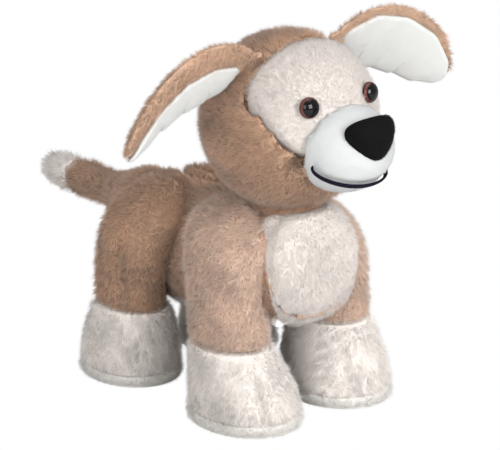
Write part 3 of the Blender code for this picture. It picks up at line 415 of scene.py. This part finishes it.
# Piles: colour at the tip and at the root, the root darker as painted shade deep in the pile, strands to a square
# centimetre, how long, thick and tufted
kinds = {
    "tan": dict(material=tanPile, colour="D9BAA1", shadedRootColour="AC8467", perCm=112, length=0.0075,
                thick=0.00022, lean=1.2, clump=0.24, nap=0.13),
    # The front legs' tan: the same fabric made lighter, painted light where the lamps fall on the legs
    "tanPale": dict(material=tanPile, colour="EAD7C8", shadedRootColour="C6A38B", perCm=112, length=0.0075,
                    thick=0.00022, lean=1.2, clump=0.24, nap=0.10),
    "tanShort": dict(material=tanPile, colour="DABDA6", shadedRootColour="B08A6D", perCm=120, length=0.0055,
                     thick=0.00021, lean=1.2, clump=0.24, nap=0.10),
    "cream": dict(material=creamPile, colour="F5F1ED", shadedRootColour="EDE6E0", perCm=118, length=0.0075,
                  thick=0.0002, lean=1.4, clump=0.18, nap=0.07),
    "creamShort": dict(material=creamPile, colour="EAE4E0", shadedRootColour="DDD5CF", perCm=185, length=0.0045,
                       thick=0.00018, lean=1.1, clump=0.14, spread=0.025),
    "creamMid": dict(material=creamPile, colour="F0EBE7", shadedRootColour="E4DCD6", perCm=150, length=0.0060,
                     thick=0.00018, lean=1.1, clump=0.2, spread=0.03, nap=0.05),
    "white": dict(material=whiteFleece, colour="D2D4D3", shadedRootColour="CACCCC", perCm=150, length=0.0013,
                  thick=0.00018, lean=0.6, clump=0.12, spread=0.012),
    "sole": dict(material=whiteFleece, colour="EDEBE7", shadedRootColour="DEDBD6", perCm=130, length=0.0050,
                 thick=0.0002, lean=0.9, clump=0.2, spread=0.02),
    "velour": dict(material=blackVelour, colour="0F0E12", shadedRootColour="030304", perCm=200, length=0.0012,
                   thick=0.0002, lean=0.5, clump=0.2, spread=0.15),
}
kinds["lining"] = dict(kinds["white"], colour="E0E1DF", shadedRootColour="D9DAD8")

# The mouth's line across the muzzle
mouthSpec = dict(halfWidth=0.0405, endZ=-0.012, farEndZ=-0.027, lowZ=-0.030, thick=0.0024, thinnest=0.0003,
                 proud=0.0010, count=49, sink=0.075, sinkFrom=0.55, sinkOver=0.45)
muzzleRadii = np.array((0.042, 0.048, 0.037)) + 0.0014
span = np.linspace(-1, 1, mouthSpec["count"])
mouthX = mouthSpec["halfWidth"] * np.sin(span * np.pi / 2)
mouthEnds = np.where(span < 0, mouthSpec["endZ"], mouthSpec["farEndZ"])
mouthZ = headCentre[2] + mouthSpec["lowZ"] + (mouthEnds - mouthSpec["lowZ"]) * span**2
within = 1 - (mouthX / muzzleRadii[0]) ** 2 - ((mouthZ - muzzleCentre[2]) / muzzleRadii[2]) ** 2
mouthY = muzzleCentre[1] - muzzleRadii[1] * np.sqrt(np.maximum(within, 0))
mouthLine = np.stack([mouthX, mouthY, mouthZ], axis=1)
# Its far end sinks into the muzzle's seam
sunk = np.clip((span - mouthSpec["sinkFrom"]) / mouthSpec["sinkOver"], 0, 1) ** 2
mouthLine += (muzzleCentre - mouthLine) * (mouthSpec["sink"] * sunk)[:, None]

# An ear's middle line from its root: out, up, half width and half thickness, as shares
earSpec = dict(root=(0.0465, 0.053), length=0.118, droop=0.054, halfWidth=0.034, halfThick=0.0055,
               wideWay=(0.15, -0.48, 0.86))
earOut = (0, 0.10, 0.29, 0.525, 0.755, 0.915, 1)
earUp = (0, 0.04, 0.055, -0.075, -0.37, -0.74, -1)
earWidth = (0.55, 0.76, 1, 1, 0.90, 0.66, 0.30)


def earFrame(sign, t):
    # Middle, across and facing directions and half width at places 0 to 6 along an ear
    k = np.arange(len(earOut))
    out = np.interp(t, k, earOut) * earSpec["length"] + earSpec["root"][0]
    rise = np.interp(t, k, earUp) * earSpec["droop"] + earSpec["root"][1]
    middle = headCentre + np.stack([sign * out, 0 * out, rise], axis=-1)
    along = unit(np.gradient(middle, axis=0))
    wide = np.array(earSpec["wideWay"]) * (sign, 1, 1)
    across = unit(wide - along * (along @ wide)[:, None])
    return middle, across, np.cross(along, across) * sign, np.interp(t, k, earWidth) * earSpec["halfWidth"]


# How far up each ear's front its lining goes, as a share of the half width: the far ear shows more of it
liningTop = {1: 0.62, -1: 0.14}


def earMask(sign):
    # Pile on an ear's front only above the lining
    middle, across, facing, half = earFrame(sign, np.linspace(0, 6, 60))

    def shownThere(place, normal, shown):
        near = np.argmin(np.linalg.norm(middle - place, axis=1))
        if normal @ facing[near] < 0.25:
            return shown
        return (place - middle[near]) @ across[near] > (liningTop[sign] - 0.04) * half[near]
    return shownThere


# The middle of the power switch's travel, and the room that skin and pile leave round it
switchPlace = np.array((0.0230, 0.0258))
switchRoom = dict(skin=0.008, skinTop=0.09, pile=0.016, pileTop=0.1)
# The chest: where its underside starts to rise, how high it reaches, and where its front is drawn back
chestSpec = dict(start=-0.05, run=0.05, top=0.100, rise=0.4, front=-0.128, draw=0.4)


def lifted(points):
    # The underside of the chest rises between the front legs, and its front is drawn back
    share = np.clip((chestSpec["start"] - points[:, 1]) / chestSpec["run"], 0, 1)
    share = share * share * (3 - 2 * share)
    points[:, 2] += chestSpec["rise"] * share * np.maximum(0, chestSpec["top"] - points[:, 2])
    points[:, 1] += chestSpec["draw"] * np.maximum(0, chestSpec["front"] - points[:, 1])
    # The opening under the belly stays clear of the switch's travel
    gap = points[:, :2] - switchPlace
    far = np.linalg.norm(gap, axis=1)
    close = (far < switchRoom["skin"]) & (points[:, 2] < switchRoom["skinTop"])
    points[close, :2] = switchPlace + unit(gap[close]) * switchRoom["skin"]
    return points


def clearOfSwitch(place, normal, shown):
    away = np.linalg.norm(place[:2] - switchPlace)
    return shown and (place[2] > switchRoom["pileTop"] or away > switchRoom["pile"])


def aboveSole(place, normal, shown):
    return shown and normal[2] > -0.5


# Each soft piece: its pile, lay and folds
pieces = {
    "head_plush": dict(kind="tan", lay=awayFromNose, inset=0.004, folds=[
        ([(s * 0.0458, -0.1526, 0.2182), (s * 0.0335, -0.1581, 0.2290)], 0.0045, 0.007) for s in (-1, 1)]),
    "face_patch": dict(kind="creamShort", lay=awayFromNose, inset=0.002, voxel=0.0035, soft=8),
    "muzzle": dict(kind="white", lay=awayFromNose, inset=0.0005, finer=True, voxel=0.003, soft=14,
                   folds=[(mouthLine[::4], 0.004, 0.0018)]),
    "ear_left": dict(kind="tanShort", lay=towards(1, 0, -0.3), inset=0.0015, voxel=0.003, swell=0.0003,
                     mask=earMask(1)),
    "ear_right": dict(kind="tanShort", lay=towards(-1, 0, -0.3), inset=0.0015, voxel=0.003, swell=0.0003,
                      mask=earMask(-1)),
    "body_plush": dict(kind="tan", lay=towards(0, 0.6, -0.8), inset=0.004, reshape=lifted, mask=clearOfSwitch),
    "chest_panel": dict(kind="creamMid", lay=towards(0, 0, -1), inset=0.0025, outline=dict(
        centre=(0, -0.06, 0.125), elevation=(-46, 42), halfTurn=(9, 17, 25, 30, 32, 33, 34, 35, 36, 37),
        lift=0.003, thick=0.005, cornerPower=14, edgePower=8)),
    "belly_panel": dict(kind="cream", lay=towards(0, 1, 0), inset=0.002),
    "tail_plush": dict(kind="tan", lay=towards(0, 1, -0.2), inset=0.003, voxel=0.0035),
    "tail_tip": dict(kind="cream", lay=towards(0, 1, -0.2), inset=0.003, voxel=0.0035),
}
# Limbs by stations: height, side, fore and aft, half width, half length
limbs = {
    "leg_front": [(0.060, 0.053, -0.0925, 0, 0), (0.0605, 0.053, -0.0925, 0.026, 0.033),
                  (0.067, 0.053, -0.0925, 0.031, 0.038), (0.085, 0.053, -0.0915, 0.0305, 0.0375),
                  (0.105, 0.0525, -0.0905, 0.031, 0.0375), (0.125, 0.050, -0.087, 0.032, 0.0415),
                  (0.143, 0.041, -0.081, 0.034, 0.0465), (0.156, 0.034, -0.077, 0.030, 0.047),
                  (0.165, 0.027, -0.076, 0.025, 0.041), (0.171, 0.020, -0.075, 0.016, 0.028),
                  (0.174, 0.018, -0.075, 0, 0)],
    "paw_front": [(0.0685, 0.053, -0.0925, 0, 0), (0.068, 0.053, -0.0925, 0.029, 0.036),
                  (0.064, 0.053, -0.0935, 0.0325, 0.0395), (0.050, 0.0515, -0.0975, 0.036, 0.044),
                  (0.032, 0.049, -0.103, 0.0405, 0.0495), (0.018, 0.048, -0.1055, 0.0428, 0.0516),
                  (0.009, 0.048, -0.1055, 0.0425, 0.0512), (0.006, 0.048, -0.1055, 0.036, 0.044),
                  (0.0055, 0.048, -0.1055, 0, 0)],
    "leg_hind": [(0.060, 0.056, 0.027, 0, 0), (0.0605, 0.057, 0.027, 0.023, 0.030),
                 (0.067, 0.0575, 0.027, 0.028, 0.035), (0.085, 0.0575, 0.026, 0.028, 0.035),
                 (0.105, 0.056, 0.023, 0.0305, 0.0375), (0.125, 0.052, 0.020, 0.033, 0.0405),
                 (0.140, 0.042, 0.022, 0.033, 0.041), (0.150, 0.034, 0.024, 0.028, 0.037),
                 (0.158, 0.026, 0.026, 0.021, 0.029), (0.164, 0.018, 0.027, 0.012, 0.017),
                 (0.166, 0.016, 0.027, 0, 0)],
    "sole_front": [(0.0004, 0.048, -0.1055, 0, 0), (0.0006, 0.048, -0.1055, 0.0385, 0.047),
                   (0.003, 0.048, -0.1055, 0.0425, 0.051), (0.008, 0.048, -0.1055, 0.0435, 0.0522),
                   (0.013, 0.048, -0.1055, 0.0425, 0.051), (0.0135, 0.048, -0.1055, 0, 0)],
    "sole_hind": [(0.0004, 0.052, 0.0348, 0, 0), (0.0006, 0.052, 0.0348, 0.0355, 0.042),
                  (0.003, 0.052, 0.0348, 0.0395, 0.046), (0.008, 0.052, 0.0348, 0.0405, 0.0472),
                  (0.013, 0.052, 0.0348, 0.0395, 0.046), (0.0135, 0.052, 0.0348, 0, 0)],
    "paw_hind": [(0.0685, 0.056, 0.027, 0, 0), (0.068, 0.056, 0.027, 0.0275, 0.0335),
                 (0.064, 0.056, 0.0275, 0.031, 0.037), (0.050, 0.0545, 0.030, 0.0345, 0.041),
                 (0.032, 0.0525, 0.0335, 0.0385, 0.0455), (0.018, 0.052, 0.0348, 0.0398, 0.0466),
                 (0.009, 0.052, 0.0348, 0.0395, 0.0462), (0.006, 0.052, 0.0348, 0.033, 0.039),
                 (0.0055, 0.052, 0.0348, 0, 0)],
}
for end in ("front", "hind"):
    for side in ("left", "right"):
        limb = f"{end}_{side}"
        sign = 1 if side == "left" else -1
        pawX = sign * 0.048
        thigh = [([(sign * 0.0805, y, 0.072), (sign * 0.0815, y + 0.004, 0.125)], 0.0045, 0.006)
                 for y in (0.010, 0.030)]
        toes = [([(pawX + x, -0.136, 0.045), (pawX + 1.2 * x, -0.155, 0.010)], 0.0035, 0.004)
                for x in (-0.014, 0.014)]
        # Front legs take the lighter tan as painted light; hind legs take the plain tan
        pieces["leg_" + limb] = dict(kind="tanPale" if end == "front" else "tan", lay=towards(0, 0.15, -1),
                                     inset=0.004, folds=thigh if end == "hind" else (),
                                     stations=limbs["leg_" + end], sign=sign, mask=clearOfSwitch)
        pieces["paw_" + limb] = dict(kind="cream", lay=towards(0, -0.3, -1), inset=0.004,
                                     folds=toes if end == "front" else (),
                                     stations=limbs["paw_" + end], sign=sign)
        pieces["sole_" + limb] = dict(kind="sole", lay=towards(0, 0, -1), inset=0.0025,
                                      stations=limbs["sole_" + end], sign=sign, mask=aboveSole)

# Skins first, then each is cut back where others cover it and grows its pile
skins = {}
for node, spec in pieces.items():
    if "stations" in spec:
        skins[node] = column("skin_" + node, spec.pop("sign"), spec.pop("stations"))
    elif "outline" in spec:
        inlay = stuffed(node, reshape=lifted)
        inlay.name = "inlay"
        skins[node] = bib("skin_" + node, treeOf([skins["body_plush"], inlay]), spec.pop("outline"))
        bpy.data.objects.remove(inlay)
    else:
        shaping = [key for key in ("voxel", "swell", "soft", "reshape") if key in spec]
        skins[node] = stuffed(node, **{key: spec.pop(key) for key in shaping})
print("skins", len(skins))
hard = [nodes[n] for n in ("nose", "eye_left", "eye_right")]
covers = {node: treeOf([o for other, o in skins.items() if other != node] + hard) for node in pieces}
total = 0
for k, (node, spec) in enumerate(pieces.items()):
    kind, lay = kinds[spec.pop("kind")], spec.pop("lay")
    skin = skins[node]
    shown = finish(node, skin, covers[node], **spec)
    # The skin behind the pile takes the mean of the tip colour and the root colour darkened as painted shade
    backing = (np.array(linear(kind["shadedRootColour"])) + np.array(linear(kind["colour"]))) / 2
    setTint(skin, np.tile(backing, (len(skin.data.vertices), 1)))
    skin.data.materials.clear()
    skin.data.materials.append(kind["material"])
    strands = growPile(skin, shown, "pile_" + node, np.random.default_rng(100 + k), bodyOf[node], slotOf[node],
                       lay, **kind)
    print(node, len(skin.data.polygons), int(shown.sum()), strands)
    total += strands
print("strands", total)

# Tail cuff: plush sewn from the rump to the tail over the joint
cuffSpec = dict(y=(0.070, 0.0705, 0.080, 0.088, 0.096, 0.106, 0.114, 0.1145),
                radius=(0, 0.029, 0.029, 0.026, 0.021, 0.0178, 0.0158, 0), axisZ=0.125,
                across=("torso", "tail", (0, 0.080, 0.125), (0, 0.112, 0.125)))
at = np.linspace(0, 7, 40)
cuffY, cuffRadius = (np.interp(at, np.arange(8), cuffSpec[key]) for key in ("y", "radius"))
turn = np.linspace(0, 2 * np.pi, 40, endpoint=False)[:, None]
cuffZ = cuffSpec["axisZ"] + np.sin(turn) * cuffRadius
cuff = surface("tail_cuff", np.stack([np.cos(turn) * cuffRadius, cuffY + 0 * turn, cuffZ], axis=-1))
# Neck roll: the sewn rim of the body round the neck, under the head
rollSpec = dict(centre=(0, -0.1027, 0.171), major=0.019, minor=0.0075)
around = np.linspace(0, 2 * np.pi, 64, endpoint=False)[:, None]
over = np.linspace(0, 2 * np.pi, 25)[None, :]
ring = rollSpec["major"] + rollSpec["minor"] * np.cos(over)
rollZ = rollSpec["minor"] * np.sin(over) + 0 * around
rollGrid = np.stack([np.cos(around) * ring, np.sin(around) * ring, rollZ], axis=-1)
roll = surface("neck_roll", rollGrid + np.array(rollSpec["centre"]))
joins = ((cuff, ("body_plush", "tail_plush"), (0, 1, -0.2), cuffSpec["across"]),
         (roll, ("body_plush", "chest_panel"), (0, 0.6, -0.8), None))
for k, (piece, others, lay, across) in enumerate(joins):
    shown = exposure(piece.data, treeOf([skins[other] for other in others]))
    # The skin under the pile takes the root colour, darkened as painted shade
    setTint(piece, np.tile(linear(kinds["tan"]["shadedRootColour"]), (len(piece.data.vertices), 1)))
    piece.data.materials.append(tanPile)
    growPile(piece, shown, "pile_" + piece.name, np.random.default_rng(200 + k), "torso", slotOf["body_plush"],
             towards(*lay), across=across, **kinds["tanShort"])
    if across:
        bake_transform(piece)
    else:
        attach(piece, "torso")
print("joins", len(joins))

# Ear linings: fleece sewn over the lower half of each ear's front, from root to tip
liningSpec = dict(start=0.35, stop=5.95, low=-1.02, across=15, lift=0.0026, sink=-0.0005, flatter=0.9)
t = np.linspace(liningSpec["start"], liningSpec["stop"], 48)
ends = np.sqrt(np.clip(1 - ((t - t.mean()) / (t.max() - t.mean())) ** 6, 0, 1))
lift = np.repeat((liningSpec["lift"], liningSpec["sink"]), liningSpec["across"])
for k, (sideName, sign) in enumerate((("left", 1), ("right", -1))):
    middle, across, facing, half = earFrame(sign, t)
    u = np.linspace(liningSpec["low"], liningTop[sign], liningSpec["across"])
    u = np.concatenate([u, u[::-1]])
    centre = u.mean()
    rows = []
    for share, rise in zip(u, lift):
        oval = math.sqrt(max(0.0, 1 - min(1.0, abs(share)) ** 2))
        height = earSpec["halfThick"] * oval * liningSpec["flatter"] + rise
        place = centre + (share - centre) * ends
        rows.append(middle + across * (place * half)[:, None] + facing * (height * ends)[:, None])
    lining = surface("lining_" + sideName, np.array(rows))
    node = "ear_lining_" + sideName
    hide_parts(node)
    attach(lining, bodyOf[node])
    # The lining's skin takes the root colour, darkened as painted shade
    setTint(lining, np.tile(linear(kinds["lining"]["shadedRootColour"]), (len(lining.data.vertices), 1)))
    lining.data.materials.append(whiteFleece)
    front = facing[len(t) // 2]
    shown = np.array([np.array(p.normal) @ front > 0.3 for p in lining.data.polygons])
    growPile(lining, shown, "pile_" + node, np.random.default_rng(300 + k), bodyOf[node], slotOf[node],
             towards(sign, 0, -0.5), **kinds["lining"])
print("linings")

# Nose: a velour triangle with round corners, wide above
noseSpec = dict(forward=0.100, rise=0.009, halfWidth=0.0225, halfHeight=0.0175, depth=0.011, widerAbove=0.20,
                flatTop=0.09, edgePower=0.75, wrap=0.55, wrapRadius=0.042)
turn = np.linspace(0, 2 * np.pi, 64, endpoint=False)[:, None]
fromFront = np.linspace(0, np.pi, 25)[None, :]
ringX = np.cos(turn) * (1 + noseSpec["widerAbove"] * np.sin(turn)) * noseSpec["halfWidth"]
ringZ = (np.sin(turn) + noseSpec["flatTop"] * np.cos(2 * turn)) * noseSpec["halfHeight"]
bulge = np.sin(fromFront) ** noseSpec["edgePower"]
noseY = -np.cos(fromFront) * noseSpec["depth"] + 0 * turn
noseGrid = np.stack([ringX * bulge, noseY, ringZ * bulge], axis=-1)
noseGrid[..., 1] += noseSpec["wrap"] * noseGrid[..., 0] ** 2 / noseSpec["wrapRadius"]
noseGrid += headCentre + (0, -noseSpec["forward"], noseSpec["rise"])
nose = surface("nose_velour", noseGrid)
nose.data.materials.append(blackVelour)
setTint(nose, np.tile(linear("050507"), (len(nose.data.vertices), 1)))
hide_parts("nose")
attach(nose, "head")
shown = np.array([p.normal.y < 0.2 for p in nose.data.polygons])
growPile(nose, shown, "pile_nose", np.random.default_rng(400), "head", "black_velour", towards(0, 0, -1),
         **kinds["velour"])

# Mouth: a dark crescent of thread along its line, thickest in the middle
along = unit(np.gradient(mouthLine, axis=0))
out = unit((mouthLine - muzzleCentre) / muzzleRadii**2)
up = unit(np.cross(along, out))
thickness = (mouthSpec["thick"] * np.sqrt(np.clip(1 - span**2, 0, 1)) + mouthSpec["thinnest"])[:, None]
turn = np.linspace(0, 2 * np.pi, 10, endpoint=False)
mouthRows = [mouthLine + up * thickness * math.cos(a) + out * mouthSpec["proud"] * math.sin(a) for a in turn]
mouth = surface("mouth_stitch", np.stack(mouthRows, axis=0))
mouth.data.materials.append(plainMaterial("dark_satin_thread", "120F1C", 0.85, shine=0.05))
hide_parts("mouth_line")
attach(mouth, "head")

# Eyes: a domed plastic button, black pupil in a red-brown ring
eyeSpec = dict(radius=0.0085, depth=0.0062, lateral=0.031, rise=0.029, pupil=0.87, rim=0.99, tilt=0.4,
               proud=0.0008, back=0.002)
eyeMaterial, eyeTree = newMaterial("polished_eye_plastic")
eyeTint = addNode(eyeTree, "ShaderNodeAttribute")
eyeTint.attribute_name = "tint"
eyeShader = addNode(eyeTree, "ShaderNodeBsdfPrincipled", {"Roughness": 0.06, "Specular IOR Level": 0.2},
                    Base_Color=eyeTint.outputs["Color"])
addNode(eyeTree, "ShaderNodeOutputMaterial", Surface=eyeShader.outputs[0])
for sideName, sign in (("left", 1), ("right", -1)):
    forward = math.sqrt(headRadius**2 - eyeSpec["lateral"] ** 2 - eyeSpec["rise"] ** 2)
    tilt = eyeSpec["tilt"]
    outward = unit(np.array((sign * eyeSpec["lateral"] * tilt, -forward, eyeSpec["rise"] * tilt)))
    seat = headCentre + (sign * eyeSpec["lateral"], -forward, eyeSpec["rise"]) + outward * eyeSpec["proud"]
    across = unit(np.cross((0, 0, 1), outward))
    above = np.cross(outward, across)
    a = np.linspace(0, 2 * np.pi, 48, endpoint=False)[:, None, None]
    e = np.linspace(0, np.pi, 33)[None, :, None]
    ring = np.sin(e) * eyeSpec["radius"]
    height = np.cos(e) * np.where(e < np.pi / 2, eyeSpec["depth"], eyeSpec["back"])
    grid = seat + (across * np.cos(a) + above * np.sin(a)) * ring + outward * height
    eye = surface("eye_button_" + sideName, grid)
    place = readPoints(eye.data) - seat
    share = np.linalg.norm(place - np.outer(place @ outward, outward), axis=1) / eyeSpec["radius"]
    black, brown = np.array(linear("0A0808")), np.array(linear("54302B"))
    dark = (share < eyeSpec["pupil"]) | (share > eyeSpec["rim"])
    setTint(eye, np.where(dark[:, None], black, brown))
    eye.data.materials.append(eyeMaterial)
    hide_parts("eye_" + sideName)
    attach(eye, "head")
print("face")

# Camera fitted to the photograph: a long lens from the dog's front right, a little above
camera = bpy.data.objects.new("camera", bpy.data.cameras.new("camera"))
bpy.context.scene.collection.objects.link(camera)
cameraSpec = dict(azimuth=-40.34, elevation=19.36, away=3.0, pixelsPerMetre=1243.1, target=(0, -0.05, 0.16),
                  at=(245.57, 200.05), photo=(500, 450), sensor=36)
az, el = math.radians(cameraSpec["azimuth"]), math.radians(cameraSpec["elevation"])
back = Vector((math.sin(az) * math.cos(el), -math.cos(az) * math.cos(el), math.sin(el)))
right = Vector((math.cos(az), math.sin(az), 0))
upward = back.cross(right)
scale = cameraSpec["pixelsPerMetre"]
aside, above = (cameraSpec["photo"][i] / 2 - cameraSpec["at"][i] for i in (0, 1))
aim = Vector(cameraSpec["target"]) + right * (aside / scale) - upward * (above / scale)
camera.location = aim + back * cameraSpec["away"]
camera.rotation_euler = back.to_track_quat("Z", "Y").to_euler()
camera.data.sensor_width = cameraSpec["sensor"]
camera.data.lens = scale * cameraSpec["away"] * cameraSpec["sensor"] / cameraSpec["photo"][0]
bpy.context.scene.camera = camera

# Stage: a white floor, soft light all round, and lamps in front, on the right and above
half, floorZ = 4, -0.001
corners = [(x * half, y * half, floorZ) for x, y in ((-1, -1), (1, -1), (1, 1), (-1, 1))]
floor = meshFrom("floor", corners, [(0, 1, 2, 3)])
paper, paperTree = newMaterial("white_paper")
seen = addNode(paperTree, "ShaderNodeLightPath")
matte = addNode(paperTree, "ShaderNodeBsdfDiffuse", {"Color": (0.85, 0.85, 0.85, 1)})
bright = addNode(paperTree, "ShaderNodeEmission", {"Color": (1, 1, 1, 1), "Strength": 1.0})
either = addNode(paperTree, "ShaderNodeMixShader", Fac=seen.outputs["Is Camera Ray"])
paperTree.links.new(matte.outputs[0], either.inputs[1])
paperTree.links.new(bright.outputs[0], either.inputs[2])
addNode(paperTree, "ShaderNodeOutputMaterial", Surface=either.outputs[0])
floor.data.materials.append(paper)
world = bpy.data.worlds.new("studio")
bpy.context.scene.world = world
world.use_nodes = True
worldTree = world.node_tree
worldTree.nodes.clear()
ray = addNode(worldTree, "ShaderNodeLightPath")
soft = addNode(worldTree, "ShaderNodeBackground", {"Color": (1, 1, 1, 1), "Strength": 0.68})
plain = addNode(worldTree, "ShaderNodeBackground", {"Color": (1, 1, 1, 1), "Strength": 1.0})
choice = addNode(worldTree, "ShaderNodeMixShader", Fac=ray.outputs["Is Camera Ray"])
worldTree.links.new(soft.outputs[0], choice.inputs[1])
worldTree.links.new(plain.outputs[0], choice.inputs[2])
addNode(worldTree, "ShaderNodeOutputWorld", Surface=choice.outputs[0])
lampAim = Vector((0, -0.03, 0.15))
lamps = (("key", (-0.1, -2.0, 0.95), 1.0, 49), ("fill", (-1.8, -1.1, 1.0), 1.2, 26),
         ("top", (0.3, -0.3, 2.2), 1.5, 18))
for lampName, place, size, power in lamps:
    lamp = bpy.data.objects.new(lampName, bpy.data.lights.new(lampName, "AREA"))
    lamp.data.size, lamp.data.energy = size, power
    lamp.location = place
    lamp.rotation_euler = (Vector(place) - lampAim).to_track_quat("Z", "Y").to_euler()
    bpy.context.scene.collection.objects.link(lamp)
bpy.context.scene.view_settings.view_transform = "Standard"
